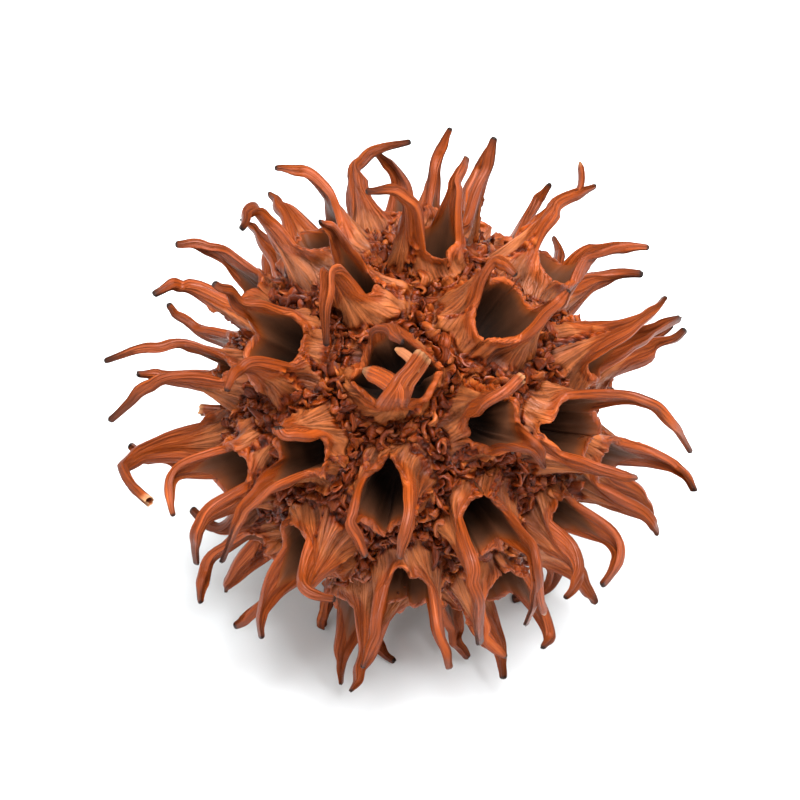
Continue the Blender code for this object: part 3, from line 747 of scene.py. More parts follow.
class Wall:
    """The fine surface of one capsule, worked out from its plan."""

    def __init__(self, number, capsule):
        self.number = number
        self.capsule = capsule
        self.axis = np.array(capsule.axis)
        self.frame = np.array((capsule.valve, capsule.side, capsule.axis))
        self.ways, self.turns = self.columns()
        self.count = len(self.turns)
        start = COLUMNS + ROOT_FLARE
        self.roots = {0: self.count - start, 1: self.count // 2 - start}

    def columns(self):
        """Ways to the groove and angles round the mouth, COLUMNS for each step of the plan."""
        ring = np.array([tuple(point) for point in self.capsule.ring])
        turns = np.array(self.capsule.angles)
        next_turns = np.append(turns[1:], turns[0] + math.tau)
        share = np.arange(COLUMNS) / COLUMNS
        ways = ring[:, None] + (np.roll(ring, -1, axis=0) - ring)[:, None] * share[:, None]
        ways = unit(ways.reshape(-1, 3)) * SEAM_RADIUS
        ways = unit(ways + drift(ways, SEAM_WAVE) * SEAM_SWAY)
        return ways, (turns[:, None] + (next_turns - turns)[:, None] * share).ravel()

    def loose(self):
        """0 at the roots of the beaks, which stay where the plan has them, and 1 elsewhere."""
        return share_of(np.abs(np.sin(self.turns)), 0.2, 0.6)

    def around(self, pace):
        """Points on a ring of their own, for noise that closes round the capsule."""
        turns = self.turns
        number = np.full(self.count, 7.3 * self.number)
        return np.stack((np.cos(turns) * pace, np.sin(turns) * pace, number), axis=1)

    def rim_wall(self):
        wood = RIM_THIN + (RIM_THICK - RIM_THIN) * np.cos(self.turns) ** 2
        return wood * (1.0 + RIM_UNEVEN * 2.0 * ripple(self.around(THICKNESS_WAVES), 1.0, THICKNESS_AT))

    def rim(self, inset, drop):
        """The edge of the mouth, which sweeps up from its low corners to the roots of the beaks."""
        fine = ripple(self.around(FINE_SWAY_WAVES), 1.0, FINE_SWAY_AT)
        sway = ripple(self.around(SWAY_WAVES), 1.0) + FINE_SWAY * fine
        sway = 1.0 + RIM_SWAY * 2.0 * sway * self.loose()
        size, gape = self.capsule.size, self.capsule.gape
        over = np.cos(self.turns)
        across = (MOUTH_ACROSS * gape * size * sway - inset) * np.sign(over) * np.abs(over) ** CORNER_PINCH
        along = (MOUTH_ALONG * size * sway - inset) * np.sin(self.turns)
        climb = (1.0 - np.abs(np.sin(self.turns))) ** EDGE_SWEEP
        height = CORNER_RADIUS + PEAK_RISE * climb - drop - CORNER_SPLIT * self.suture(CORNER_SPLIT_WIDTH)
        height = height + RIM_WAVE * 2.0 * ripple(self.around(SWAY_WAVES), 1.0, RIM_WAVE_AT) * self.loose()
        height = height + RIM_RAGS * ridged(self.around(RAG_WAVES), 1.0) * self.loose()
        return np.stack((across, along, height), axis=1)

    def suture(self, width):
        """1 where the two valves meet, and 0 away from there."""
        return np.exp(-((np.cos(self.turns) / width) ** 2))

    def fibre(self, rise):
        """The number of the fibre at each column. Fibres fan in towards the beaks as they rise."""
        across = np.arcsin(np.sin(self.turns)) / (math.pi / 2.0)
        spread = 1.0 - (1.0 - FIBRE_SPREAD) * rise**0.8
        return FIBRE_COUNT * across / (spread + (1.0 - spread) * np.abs(across))

    def grain(self, rise):
        """Where each column's fibre is at a share of the wall's height, as Skin has it."""
        fibre = self.fibre(rise)
        number = 7.0 * self.number + 0.8 * np.cos(self.turns)
        return np.stack((fibre, np.broadcast_to(WALL_LENGTH * rise / MM, fibre.shape), number), axis=1)

    def crust(self):
        """The rows of the seam's crust, from the groove inwards, and their relief."""
        rows, reliefs = [], []
        for share in np.linspace(1.0, FOOT_SHARE, BAND_ROWS):
            ways = unit(self.axis * (1.0 - share) + self.ways * share)
            swell = max(0.0, math.sin(math.pi * (1.0 - share) / (1.0 - FOOT_SHARE))) ** CRUST_BULGE
            radius = SEAM_RADIUS + (CRUST_RADIUS - SEAM_RADIUS) * swell
            fade = float(share_of(share, FOOT_SHARE, FOOT_SHARE + CRUST_FADE))
            edge = float(share_of(share, GROOVE_SHADE, 1.0))
            places = ways * CRUST_RADIUS
            deep = GROOVE_DEPTH + GROOVE_RELIEF * ripple(places, GROOVE_WAVE, GROOVE_AT)
            rough, fine = crumpled(places)
            height = radius - CRUST_DROP + (LUMP_RELIEF * rough + CRUMPLE_RELIEF * fine) * fade
            height = height - deep * float(share_of(share, GROOVE_START, 1.0))
            if share == FOOT_SHARE:
                height = np.full(self.count, FOOT_RADIUS)
            push = drift(places + PUSH_AT, 0.55 * LUMP_SIZE) * (CRUST_FOLD * fade * (1.0 - edge))
            rows.append(ways * height[:, None] + push)
            # The relief's tone paints shade into the cracks between the lumps and in the groove, and light on
            # their tops
            reliefs.append(np.clip(LUMP_TONE * rough + CRUMPLE_TONE * fine - GROOVE_TONE * edge, -1.0, 1.0))
        return rows, reliefs

    def smooth_wall(self, foot, rim):
        """Rows from the foot to the rim, drawn in at the waist, with each one's rise and the way out."""
        middle = (foot + rim) / 2.0
        height = (middle @ self.axis)[:, None] * self.axis
        waist = (middle - height) * WAIST_SHARE + height
        bend = 2.0 * waist - middle
        rise = (np.arange(WALL_ROWS) + 1.0)[:, None, None] / WALL_ROWS
        smooth = (1.0 - rise) ** 2 * foot + 2.0 * rise * (1.0 - rise) * bend + rise**2 * rim
        round_it = np.roll(smooth, -1, axis=1) - np.roll(smooth, 1, axis=1)
        return smooth, rise[:, 0, 0], unit(np.cross(round_it, np.gradient(smooth, axis=0)))

    def valves(self, foot, rim):
        """The rows of the wall with their relief, and how far each point has crust or margin."""
        smooth, rise, outward = self.smooth_wall(foot, rim)
        grain = np.array([self.grain(share) for share in rise])
        ridges = sum(height * ridged(grain * scale, 1.0) for scale, height in RIDGE_LAYERS)
        pleats = ridged(grain * PLEAT_LAYER + PLEAT_AT, 1.0)
        dents = ripple(smooth + WALLS_APART * self.number, DENT_SIZE) * 2.0
        margin = share_of(rise, *MARGIN_RISE)[:, None] * (1.0 - 0.8 * self.suture(MARGIN_GAP))
        room = share_of(rise, 0.0, 0.2)[:, None] * (1.0 - 0.5 * margin)
        calm = room * (0.25 + 0.75 * self.loose())
        lift = FIBRE_RELIEF * ridges * room + (DENT_RELIEF * dents + PLEAT_RELIEF * pleats) * calm
        lift = lift - SUTURE_DEPTH * self.suture(SUTURE_WIDTH) * share_of(rise, 0.1, 0.5)[:, None]
        lift = lift + MARGIN_RELIEF * margin
        # The relief's tone paints shade into the hollows of the ridges, dents and pleats, and a highlight on
        # their crests
        relief = RIDGE_TONE * ridges + DENT_TONE * dents + PLEAT_TONE * pleats
        relief = relief + (0.1 + RIDGE_TONE * ridges - relief) * margin

        # The crust climbs the foot of the wall, higher in some places than in others
        top = CLIMB + CLIMB_SPREAD * 2.0 * ripple(self.around(CLIMB_WAVES), 1.0, CLIMB_AT)
        crust = share_of(rise, 0.0, CRUST_FADE)[:, None] * (1.0 - share_of(rise[:, None], 0.4 * top, top))
        rough, fine = crumpled(smooth)
        lift = lift + (CLIMB_LUMPS * LUMP_RELIEF * rough + CRUMPLE_RELIEF * fine) * crust
        relief = relief + (LUMP_TONE * rough + CRUMPLE_TONE * fine - relief) * crust
        return smooth + outward * lift[:, :, None], np.clip(relief, -1.0, 1.0), crust, margin


def section(share, width, thick, around):
    """A beak's outline across: a strap that curls in, with a gutter on its inner side, and a tone
    that paints shade into the gutter and along both edges.
    """
    across, through = around
    size = (np.abs(across) ** SECTION_POWER + np.abs(through) ** SECTION_POWER) ** (1.0 / SECTION_POWER)
    across, through = across / size, through / size
    inner = np.clip(-through, 0.0, 1.0)
    end, rest = GUTTER_FADE
    fold = math.sin(math.pi * min(1.0, 0.25 + share)) ** 0.5 if share < end else rest
    gutter = GUTTER_DEPTH * fold * np.exp(-((across / GUTTER_WIDTH) ** 2)) * inner
    height = 0.5 * through + gutter - CURL * (across**2 - 0.3)
    # Painted shade: the gutter and both edges of the strap are darker
    edge = share_of(np.abs(across), EDGE_SHARE, 1.0)
    return across * 0.5 * width, height * thick, -GUTTER_TONE * gutter - EDGE_DARKNESS * edge


def beak_outline():
    """The root's points as they go round a square: outer side, edge, inner side, edge."""
    side = np.linspace(-1.0, 1.0, ROOT_COLUMNS + 1)
    edge = np.linspace(1.0, -1.0, ROLL_ROWS + 1)[1:-1]
    across = np.concatenate((side, np.ones(len(edge)), side[::-1], -np.ones(len(edge))))
    through = np.concatenate((np.ones(len(side)), edge, -np.ones(len(side)), edge[::-1]))
    return across, through


def beak_course(wall, beak, tip, arch, hollow, draw):
    """Shares of a beak's length, and there the points of its line and the ways that it runs."""
    root, growth, _ = root_of(wall.capsule, beak)
    bend = root + growth * (tip - root).length * arch
    root, bend, tip, growth = (np.array(point) for point in (root, bend, tip, growth))
    end = 1.0 if hollow else 1.0 - CAP_LENGTH / np.linalg.norm(tip - root)
    shares = np.linspace(0.0, end, BEAK_ROWS + 1)
    along = shares[:, None]
    pull = 2.0 * draw.uniform(*BEAK_BENDS) * (1.0 - along) * along
    line = root * (1.0 - along) ** 2 + bend * pull + tip * along**2
    line = line / ((1.0 - along) ** 2 + pull + along**2)
    far = line + BEAKS_APART * (2 * wall.number + beak)
    kinks = np.abs(drift(far + KINKS_AT, KINK_SIZE)) * BEAK_KINK
    wobble = drift(far, WOBBLE_SIZE) * BEAK_WOBBLE + kinks - kinks.mean(axis=0)
    line = line + wobble * np.sin(math.pi * along) * share_of(along, 0.0, 0.4)
    ways = unit(np.gradient(line, axis=0))
    ways[0] = growth
    return shares, line, ways


def beak_size(wall, beak, share, breadth, tip_thickness, taper):
    """How wide and how thick a beak is at a share of its length."""
    swell = breadth + 2.0 * BEAK_SWELL * noise.noise((share * 4.0, wall.number * 3.1, beak * 9.7))
    point = 1.0 - taper * float(share_of(share, POINT_START, 1.0))
    width = (BEAK_ROOT_WIDTH + (BEAK_TIP_WIDTH - BEAK_ROOT_WIDTH) * share**0.8) * swell * point
    return width, BEAK_THICKNESS * (1.0 + (tip_thickness - 1.0) * share) * point


def grow_fine_beak(skin, wall, beak, root_loop, draw):
    """Carries the loop of points at a beak's root along its line to the tip, and closes it."""
    ring, points, grain, depth = root_loop
    tip, arch, on_surface = wall.capsule.tips[beak]
    breadth = draw.uniform(*BEAK_BREADTHS)
    if (wall.number, beak) in SET_BEAKS:
        breadth, place = SET_BEAKS[wall.number, beak]
        tip = front_to_world() @ (Vector(place) * MM)
    hollow = not on_surface and draw.random() < HOLLOW_CHANCE or (wall.number, beak) in HOLLOW_BEAKS
    darkening = 1.0 + DARKENING * noise.noise((wall.number * 1.7, beak * 5.3, 0.4))
    twist = 0.0 if on_surface else math.radians(draw.uniform(-BEAK_TWIST, BEAK_TWIST))
    tip_thickness = draw.uniform(*TIP_THICKNESSES)
    taper = draw.uniform(*TIP_TAPERS) * (0.0 if hollow or on_surface else 1.0)
    floor = -REST_DROP if on_surface else SOLE_CLEARANCE - REST_DROP
    shares, line, ways = beak_course(wall, beak, tip, arch, hollow, draw)

    around = beak_outline()
    width_way = np.array(wall.capsule.side) * (1.0 if beak == 0 else -1.0)
    for index, (share, middle, way) in enumerate(zip(shares, line, ways)):
        width_way = unit(width_way - way * (width_way @ way))
        thick_way = np.cross(width_way, way)
        if index == 0:
            rooted = (points - middle) @ np.array((width_way, thick_way, way)).T
            continue
        grain = grain + (0.0, np.linalg.norm(middle - line[index - 1]) / MM, 0.0)
        turn = twist * share**1.5
        wide = width_way * math.cos(turn) + thick_way * math.sin(turn)
        thick = thick_way * math.cos(turn) - width_way * math.sin(turn)
        width, thickness = beak_size(wall, beak, share, breadth, tip_thickness, taper)
        across, through, dip = section(share, width, thickness, around)
        fibres = ridged(grain * BEAK_FIBRES, 1.0)
        size = 1.0 + BEAK_FIBRE * fibres / (0.5 * thickness)
        # The relief paints shade into the grooves between the fibres, and dip adds painted shade in the
        # gutter and along the edges
        relief = np.clip(0.7 * fibres + dip, -1.0, 1.0)

        # The root's outline turns into the strap's, which is flatter and only a little fibrous across
        formed = 1.0 - (1.0 - min(1.0, share / FORM_SHARE)) ** ROOT_NARROWING
        strap = np.stack((across * (1.0 + 0.3 * (size - 1.0)), through * size, np.zeros(len(across))), axis=1)
        row = middle + (rooted * (1.0 - formed) + strap * formed) @ np.array((wide, thick, way))
        row[:, 2] = np.maximum(row[:, 2], floor)
        ring = link(
            skin, ring, row, grain, relief=relief * formed, depth=depth * (1.0 - formed),
            age=max(MARGIN_AGE, share**darkening * (0.6 if hollow else 1.0)),
            torn=0.7 * float(share_of(share, 0.96, 1.0)) if hollow else 0.0,
        )
    close_beak(skin, ring, row, grain, ways[-1], hollow, floor)
    for number, side, share, width, place, torn in BRANCHES:
        if (number, side) == (wall.number, beak):
            start = int(share * BEAK_ROWS)
            grow_branch(skin, line[start], ways[start], place, 0.5 * width * MM, grain.mean(axis=0), torn)


def grow_branch(skin, start, way, place, size, grain, torn):
    """The side branch of a forked beak: a blunt finger that starts inside the beak."""
    tip = np.array(front_to_world() @ (Vector(place) * MM))
    reach = np.linalg.norm(tip - start)
    bend = start + way * BRANCH_BEND * reach
    along = np.linspace(0.0, 1.0, BRANCH_ROWS + 1)[:, None]
    line = (start * (1 - along) + bend * along) * (1 - along) + (bend * (1 - along) + tip * along) * along
    ways = unit(np.gradient(line, axis=0))
    turns = np.arange(BRANCH_COLUMNS) / BRANCH_COLUMNS * math.tau
    wide = np.cross(way, start)
    foot = skin.add(line[:1], grain[None])
    ring = None
    for share, middle, way in zip(along[:, 0], line, ways):
        wide = unit(wide - way * (wide @ way))
        width = size * (1.1 - 0.25 * share) * math.sqrt(1.0 - max(0.0, (share - BRANCH_TIP) / 0.15) ** 2)
        row = middle + np.outer(np.cos(turns) * width, wide)
        row = row + np.outer(np.sin(turns) * 0.6 * width, np.cross(way, wide))
        fibres = grain + np.stack((turns * 2.0, turns * 0.0 + share * reach / MM, turns * 0.0), axis=1)
        row = row + (row - middle) * (BRANCH_RELIEF * ridged(fibres * BRANCH_FIBRES, 1.0))[:, None]
        upper = skin.add(row, fibres, age=0.3 + 0.5 * share, torn=max(torn, float(share > 0.9) * 0.7))
        if ring is None:
            skin.fan(upper, int(foot[0]), inside_out=True)
        else:
            skin.quads(ring, upper)
        ring = upper
    skin.close(ring, tip, grain, age=0.8, torn=0.7)


def close_beak(skin, ring, row, grain, way, hollow, floor):
    """A blunt rounded tip, or the hollow end of a broken beak."""
    centre = row.mean(axis=0)
    reach, steps = (HOLLOW_LENGTH, HOLLOW_STEPS) if hollow else (CAP_LENGTH, CAP_STEPS)
    for size, ahead in steps:
        points = centre + (row - centre) * size + way * reach * ahead
        if hollow and ahead > -1.0:
            points = points + way * (ripple(row, HOLLOW_RAG_SIZE) * HOLLOW_RAGS)[:, None]
        points[:, 2] = np.maximum(points[:, 2], floor)
        torn = 0.9 if hollow and ahead > 0.0 else 0.0
        age = 0.5 if hollow else 1.0
        # The hollow end's relief falls inwards, so that its inside is painted dark as shade
        ring = link(skin, ring, points, grain, relief=min(0.0, 1.2 * ahead), age=age, torn=torn)
    end = centre + way * reach * (-1.0 if hollow else 1.0)
    end[2] = max(end[2], floor)
    relief, age = (-1.0, 0.6) if hollow else (0.0, 1.0)
    skin.close(ring, end, grain.mean(axis=0), relief=relief, age=age)


def grow_wall(skin, wall, draw):
    """One capsule from its closed underside over crust, wall and rim into its chamber."""
    crust, crust_relief = wall.crust()
    outer_rim = wall.rim(0.0, 0.0) @ wall.frame
    inner_rim = wall.rim(wall.rim_wall(), 0.5 * RIM_SLOPE) @ wall.frame
    valves, valve_relief, climb, margin = wall.valves(crust[-1], outer_rim)

    keel = []
    for radius, share in zip(KEEL_RADII[1:], KEEL_SHARES[1:]):
        keel.append(unit(wall.axis * (1.0 - share) + wall.ways * share) * radius)
    point = skin.add(wall.axis[None] * KEEL_RADII[0], np.zeros((1, 3)))
    flat_grain = wall.grain(0.0)
    # The closed underside has the lowest relief, and so is painted dark as shade
    row = skin.add(keel[0], flat_grain, relief=-1.0)
    skin.fan(row, int(point[0]), inside_out=True)
    row = link(skin, row, keel[1], flat_grain, relief=-1.0)
    for index, (points, relief) in enumerate(zip(crust, crust_relief)):
        edge = float(share_of(BAND_ROWS - 1.0 - index, 0.0, 2.0))
        row = link(skin, row, points, flat_grain, relief=relief, crust=edge)
    for index, (points, relief) in enumerate(zip(valves, valve_relief)):
        rise = (index + 1) / WALL_ROWS
        age = MARGIN_AGE * margin[index]
        row = link(skin, row, points, wall.grain(rise), relief=relief, crust=climb[index], age=age)

    # The rounded edge, left open where the beaks grow
    top = valves[-1]
    upward = unit(unit(top - valves[-2]) + wall.axis)
    open_at = np.ones(wall.count, bool)
    for start in wall.roots.values():
        open_at[(start + np.arange(ROOT_COLUMNS)) % wall.count] = False
    roll = [(row, top, wall.grain(1.0))]
    for index, (inward, height) in enumerate(RIM_PROFILE):
        rough = 1.0 + RIM_ROUGH * 2.0 * ripple(wall.around(ROUGH_WAVES), 1.0, ROUGH_AT * index)
        crest = RIM_ROLL * height * rough * np.linalg.norm(inner_rim - top, axis=1)
        points = top + (inner_rim - top) * inward + upward * crest[:, None]
        grain = wall.grain(1.0) + (0.3 * index, 0.0, 0.0)
        # The crest of the edge has a higher relief, painted lighter as a highlight
        relief = 0.7 * height * rough - 0.3
        row = link(skin, row, points, grain, kept=open_at, relief=relief, age=MARGIN_AGE)
        roll.append((row, points, grain))
    for beak, start in wall.roots.items():
        grow_fine_beak(skin, wall, beak, root_loop(roll, start, wall.count), draw)
    foot = crust[-1] - (crust[-1] @ wall.axis)[:, None] * wall.axis
    grow_chamber(skin, wall, *roll[-1], np.linalg.norm(foot, axis=1) - CHAMBER_WALL)


def link(skin, lower, points, grain, lining=0, kept=None, **extras):
    """Adds a row and joins it to the one below."""
    upper = skin.add(points, grain, **extras)
    skin.quads(lower, upper, lining, kept)
    return upper


def root_loop(roll, start, count):
    """The points round the opening that a beak grows from, in the order of beak_outline."""
    columns = [(start + step) % count for step in range(ROOT_COLUMNS + 1)]
    places = [(0, column) for column in columns]
    places += [(row, columns[-1]) for row in range(1, ROLL_ROWS)]
    places += [(ROLL_ROWS, column) for column in reversed(columns)]
    places += [(row, columns[0]) for row in range(ROLL_ROWS - 1, 0, -1)]
    loop = [np.array([roll[row][kind][column] for row, column in places]) for kind in range(3)]
    return *loop, np.zeros(len(places))


def grow_chamber(skin, wall, row, rim, grain, room):
    """The smooth seed chamber, a deep bowl from the inner edge of the rim to its bottom.

    It draws in to the room that there is inside the foot of the wall.
    """
    heights = (rim @ wall.axis)[:, None]
    spread = rim - heights * wall.axis
    narrow = np.minimum(1.0, room / np.linalg.norm(spread, axis=1))[:, None]
    for index in range(1, CHAMBER_ROWS):
        turn = 0.5 * math.pi * index / CHAMBER_ROWS
        height = heights + (CHAMBER_END_RADIUS - heights) * math.sin(turn)
        draw_in = 1.0 + (narrow - 1.0) * float(share_of(index, 0.0, 2.5))
        points = spread * draw_in * math.cos(turn) ** CHAMBER_FULLNESS + height * wall.axis
        depth = index / CHAMBER_ROWS
        row = link(skin, row, points, grain + (0.0, 6.0 * depth, 0.0), lining=1, depth=depth)
    skin.close(row, CHAMBER_END_RADIUS * wall.axis, grain.mean(axis=0), lining=1, depth=1.0)


def seam_guide(walls, shift):
    """The crust of all seams as one mesh, for the curls to be spread over."""
    points, faces, shares = [], [], []
    for wall in walls:
        rows, _ = wall.crust()
        first = len(points)
        for index, row in enumerate(rows):
            points += (row + shift).tolist()
            shares += [1.0 - index / (BAND_ROWS - 1)] * wall.count
        for lower in range(len(rows) - 1):
            base = first + lower * wall.count
            for column in range(wall.count):
                lower_pair = (base + column, base + (column + 1) % wall.count)
                faces.append((*lower_pair, *(number + wall.count for number in reversed(lower_pair))))
    data = bpy.data.meshes.new("seam_guide")
    data.from_pydata(points, [], faces)
    closeness = data.attributes.new("seam", "FLOAT", "POINT")
    closeness.data.foreach_set("value", shares)
    guide = bpy.data.objects.new("seam_guide", data)
    bpy.context.scene.collection.objects.link(guide)
    return guide


def colour(code):
    """An sRGB hex colour as linear red, green, blue and a full alpha."""
    parts = [int(code[at:at + 2], 16) / 255.0 for at in (1, 3, 5)]
    linear = [part / 12.92 if part <= 0.04045 else ((part + 0.055) / 1.055) ** 2.4 for part in parts]
    return (*linear, 1.0)


def node(tree, kind, inputs=(), stops=(), **settings):
    """Adds a node with its settings and links, and a colour ramp's stops of place and colour.

    The inputs stand in the node's own order, or by their names. Each is a value, the output of
    another node, or that node itself, which then gives the first output that it has in use.
    """
    made = tree.nodes.new(kind)
    for name, value in settings.items():
        setattr(made, name, value)
    for name, value in inputs.items() if isinstance(inputs, dict) else enumerate(inputs):
        socket = made.inputs[name] if isinstance(name, int) else in_use(made.inputs, name)
        if isinstance(value, bpy.types.Node):
            value = in_use(value.outputs)
        if isinstance(value, bpy.types.NodeSocket):
            tree.links.new(value, socket)
        else:
            socket.default_value = value
    elements = made.color_ramp.elements if stops else ()
    for _ in range(len(elements), len(stops)):
        elements.new(0.5)
    for element, (place, code) in zip(elements, stops):
        element.position = place
        element.color = colour(code)
    return made


def in_use(sockets, name=None):
    """The first socket in use, or the first in use with that name."""
    return next(socket for socket in sockets if socket.enabled and name in (None, socket.name))


def sum_of(tree, *parts):
    """The sum of values, each times its share."""
    total = 0.0
    for value, share in parts:
        total = node(tree, MATH, (value, share, total), operation="MULTIPLY_ADD")
    return total


def coat(tree, tone, cover, value, low=0.0, high=1.0, none=0.0, full=1.0):
    """Lays a colour over the tone, by the share none where value is low and full where it is high."""
    share = node(tree, RANGE, (value, low, high, none, full))
    cover = colour(cover) if isinstance(cover, str) else cover
    return node(tree, "ShaderNodeMix", {"Factor": share, "A": tone, "B": cover}, data_type="RGBA")


def streaks(tree, across, along):
    """Noise drawn out along the fibres. across and along scale the fibre's number and its mm."""
    grain = node(tree, ATTRIBUTE, attribute_name="grain").outputs["Vector"]
    drawn_out = node(tree, "ShaderNodeMapping", {"Vector": grain, "Scale": (across, along, 1.0)})
    return node(tree, NOISE, {"Vector": drawn_out, "Scale": 1.0, "Detail": 4.0, "Roughness": 0.6})


def patches(tree, size):
    """Noise with features of about the given size, in place on the pod."""
    place = node(tree, "ShaderNodeTexCoord").outputs["Object"]
    return node(tree, NOISE, {"Vector": place, "Scale": 0.5 / size, "Detail": 3.0, "Roughness": 0.6})


def new_material(name):
    material = bpy.data.materials.new(name)
    material.use_nodes = True
    return material, material.node_tree, material.node_tree.nodes["Principled BSDF"]


def set_surface(tree, shader, tone, rough, gloss, height, bump):
    """Gives the shader its colour, roughness and gloss, and a bump of the given strength and depth."""
    strength, depth = bump
    raised = node(tree, "ShaderNodeBump", {"Strength": strength, "Distance": depth, "Height": height})
    for name, made in (("Base Color", tone), ("Roughness", rough), ("Normal", raised)):
        tree.links.new(in_use(made.outputs), shader.inputs[name])
    shader.inputs["IOR"].default_value = 1.5
    shader.inputs["Specular IOR Level"].default_value = gloss


def capsule_wood(middle):
    """Dry sweetgum capsule wood, split open by drying and never worked.

    To the eye: rust orange, drawn out in fine darker and paler fibres that run up the walls and
    on along the beaks, with a satin shine on the ridges from the gloss and a highlight painted on
    the crests, shade painted into the hollows and deep between the capsules, and dark tips.
    """
    material, tree, shader = new_material("dry_sweetgum_capsule_wood")
    known = ("relief", "age", "torn", "crust")
    relief, age, torn, crust = (node(tree, ATTRIBUTE, attribute_name=name).outputs["Fac"] for name in known)
    broad, fine = streaks(tree, 0.9, 0.10), streaks(tree, 3.6, 0.35)
    tone = node(tree, RAMP, (sum_of(tree, (broad, 0.6), (fine, 0.4)),), stops=FIBRE_TONES)

    # Thin dark cracks run along the fibres, and broader darker patches lie over them
    lines = node(tree, MATH, (streaks(tree, 1.5, 0.11), 0.5), operation="SUBTRACT")
    cracks = node(tree, RANGE, (node(tree, MATH, (lines,), operation="ABSOLUTE"), 0.004, 0.03, 0.75, 0.0))
    tone = coat(tree, tone, "#3d1304", cracks)
    tone = coat(tree, tone, "#69280a", patches(tree, 2.2 * MM), 0.35, 0.65, 0.0, 0.45)

    # The thin skin between a wall's thick margin and the crust is paler, more so in places
    skin = node(tree, RANGE, (patches(tree, 1.6 * MM), 0.35, 0.6, 0.15, 0.62))
    tone = coat(tree, tone, "#c87746", sum_of(tree, (age, 1.0), (crust, 0.4)), 0.0, 0.25, skin, 0.0)
    # On the crust the tone follows the relief: painted shade in the cracks, painted light on the tops of the
    # lumps
    level = node(tree, RANGE, (relief, -1.0, 1.0))
    tone = coat(tree, tone, node(tree, RAMP, (level,), stops=CRUST_TONES), crust)

    # Painted shade in the hollows of the relief and deep between the capsules, and a painted highlight on the
    # crests
    tone = coat(tree, tone, "#2f0e03", relief, 0.1, -0.9, 0.0, 0.75)
    # Painted shade, darker the nearer a point lies to the middle of the head
    place = node(tree, "ShaderNodeTexCoord").outputs["Object"]
    radius = node(tree, VECTORS, (place, tuple(middle)), operation="DISTANCE")
    tone = coat(tree, tone, "#340e01", radius, *DEEP_SHADE_RADII, DEEP_SHADE, 0.0)
    tone = coat(tree, tone, "#c66c34", relief, 0.2, 1.0, 0.0, 0.42)

    # Margins and beaks are warmer, and beaks turn dark towards their tips, where they aren't torn
    tone = coat(tree, tone, "#ac4b10", age, 0.02, 0.3, 0.0, 0.25)
    aged = sum_of(tree, (age, 1.0), (patches(tree, 5.0 * MM), 0.7))
    tone = coat(tree, tone, "#2a1208", aged, 1.1, 1.5, 0.0, 0.85)
    tone = coat(tree, tone, "#120b07", age, 0.93, 0.99, 0.0, 0.85)
    tone = coat(tree, tone, "#c99466", torn)

    uneven = sum_of(tree, (fine, 1.0), (patches(tree, 1.2 * MM), 1.0))
    rough = sum_of(tree, (node(tree, RANGE, (uneven, 0.7, 1.3, 0.28, 0.55)), 1.0), (crust, -0.1))
    height = sum_of(tree, (fine, 0.9), (broad, 0.6), (patches(tree, 0.2 * MM), 0.35), (cracks, -0.5))
    set_surface(tree, shader, tone, rough, 0.25, height, (1.0, 0.14 * MM))
    return material


def chamber_lining():
    """The hard skin that lines a seed chamber, smooth as parchment.

    To the eye: a plain grey brown, even and faintly glossy, with painted shade that darkens it towards the
    bottom.
    """
    material, tree, shader = new_material("smooth_seed_chamber_lining")
    depth = node(tree, ATTRIBUTE, attribute_name="depth").outputs["Fac"]
    fine = streaks(tree, 2.0, 0.3)
    # Painted shade: the lining darkens with the depth in the chamber
    tone = node(tree, RAMP, (depth,), stops=LINING_TONES)
    tone = coat(tree, tone, "#2c1c12", patches(tree, 1.6 * MM), 0.35, 0.65, 0.0, 0.4)
    tone = coat(tree, tone, "#5e3422", fine, 0.4, 0.7, 0.0, 0.2)
    rough = node(tree, RANGE, (depth, 0.3, 0.7, 0.42, 0.9))
    height = sum_of(tree, (fine, 1.0), (patches(tree, 0.6 * MM), 1.0))
    set_surface(tree, shader, tone, rough, 0.22, height, (0.5, 0.04 * MM))
    return material


def floor_board():
    """Matt white painted board. To the eye: an even pale ground with no gloss."""
    material, tree, shader = new_material("matt_white_board")
    tone = coat(tree, colour("#e9eef1"), "#edf2f5", patches(tree, 60.0 * MM), 0.4, 0.6)
    tree.links.new(in_use(tone.outputs), shader.inputs["Base Color"])
    shader.inputs["Roughness"].default_value = 0.9
    return material


def curled_strip(tree, given, bend):
    """A thin bar, narrower to its ends and bent into a curl, that knows where its fibres run."""
    size = node(tree, JOIN, (given["Length"], given["Width"], given["Thickness"]))
    bar = node(tree, "GeometryNodeMeshCube", {"Size": size, **CURL_CUTS})
    place = node(tree, "GeometryNodeInputPosition")
    along, across, up = node(tree, "ShaderNodeSeparateXYZ", (place,)).outputs
    flat = node(tree, JOIN, (across, along))
    grain = node(tree, VECTORS, (flat, (1.0 / CURL_FIBRE, 1.0 / MM, 0.0)), operation="MULTIPLY")
    marked = node(tree, STORE, {"Geometry": bar, "Name": "grain", "Value": grain}, data_type="FLOAT_VECTOR")

    # The bar's middle line becomes an arc that turns by bend to either side
    radius = node(tree, MATH, (given["Length"], 0.5 / bend), operation="MULTIPLY")
    turn = node(tree, MATH, (along, radius), operation="DIVIDE")
    aside = node(tree, MATH, (across,), operation="ABSOLUTE")
    thinned = node(tree, RANGE, (aside, 0.0, given["Width"], 1.0, 1.0 - 2.0 * CURL_ROUNDING))
    arm = node(tree, MATH, (up, thinned, radius), operation="MULTIPLY_ADD")
    forward, height = (
        node(tree, MATH, (node(tree, MATH, (turn,), operation=kind), arm), operation="MULTIPLY")
        for kind in ("SINE", "COSINE")
    )
    height = node(tree, MATH, (height, radius), operation="SUBTRACT")
    ends = node(tree, MATH, (turn, 1.0 / bend), operation="MULTIPLY")
    ends = node(tree, MATH, (node(tree, MATH, (ends,), operation="ABSOLUTE"), 2.0), operation="POWER")
    width = node(tree, MATH, (ends, -CURL_NARROWING, 1.0), operation="MULTIPLY_ADD")
    bent = node(tree, JOIN, (forward, node(tree, MATH, (across, width), operation="MULTIPLY"), height))
    return node(tree, "GeometryNodeSetPosition", {"Geometry": marked, "Position": bent})


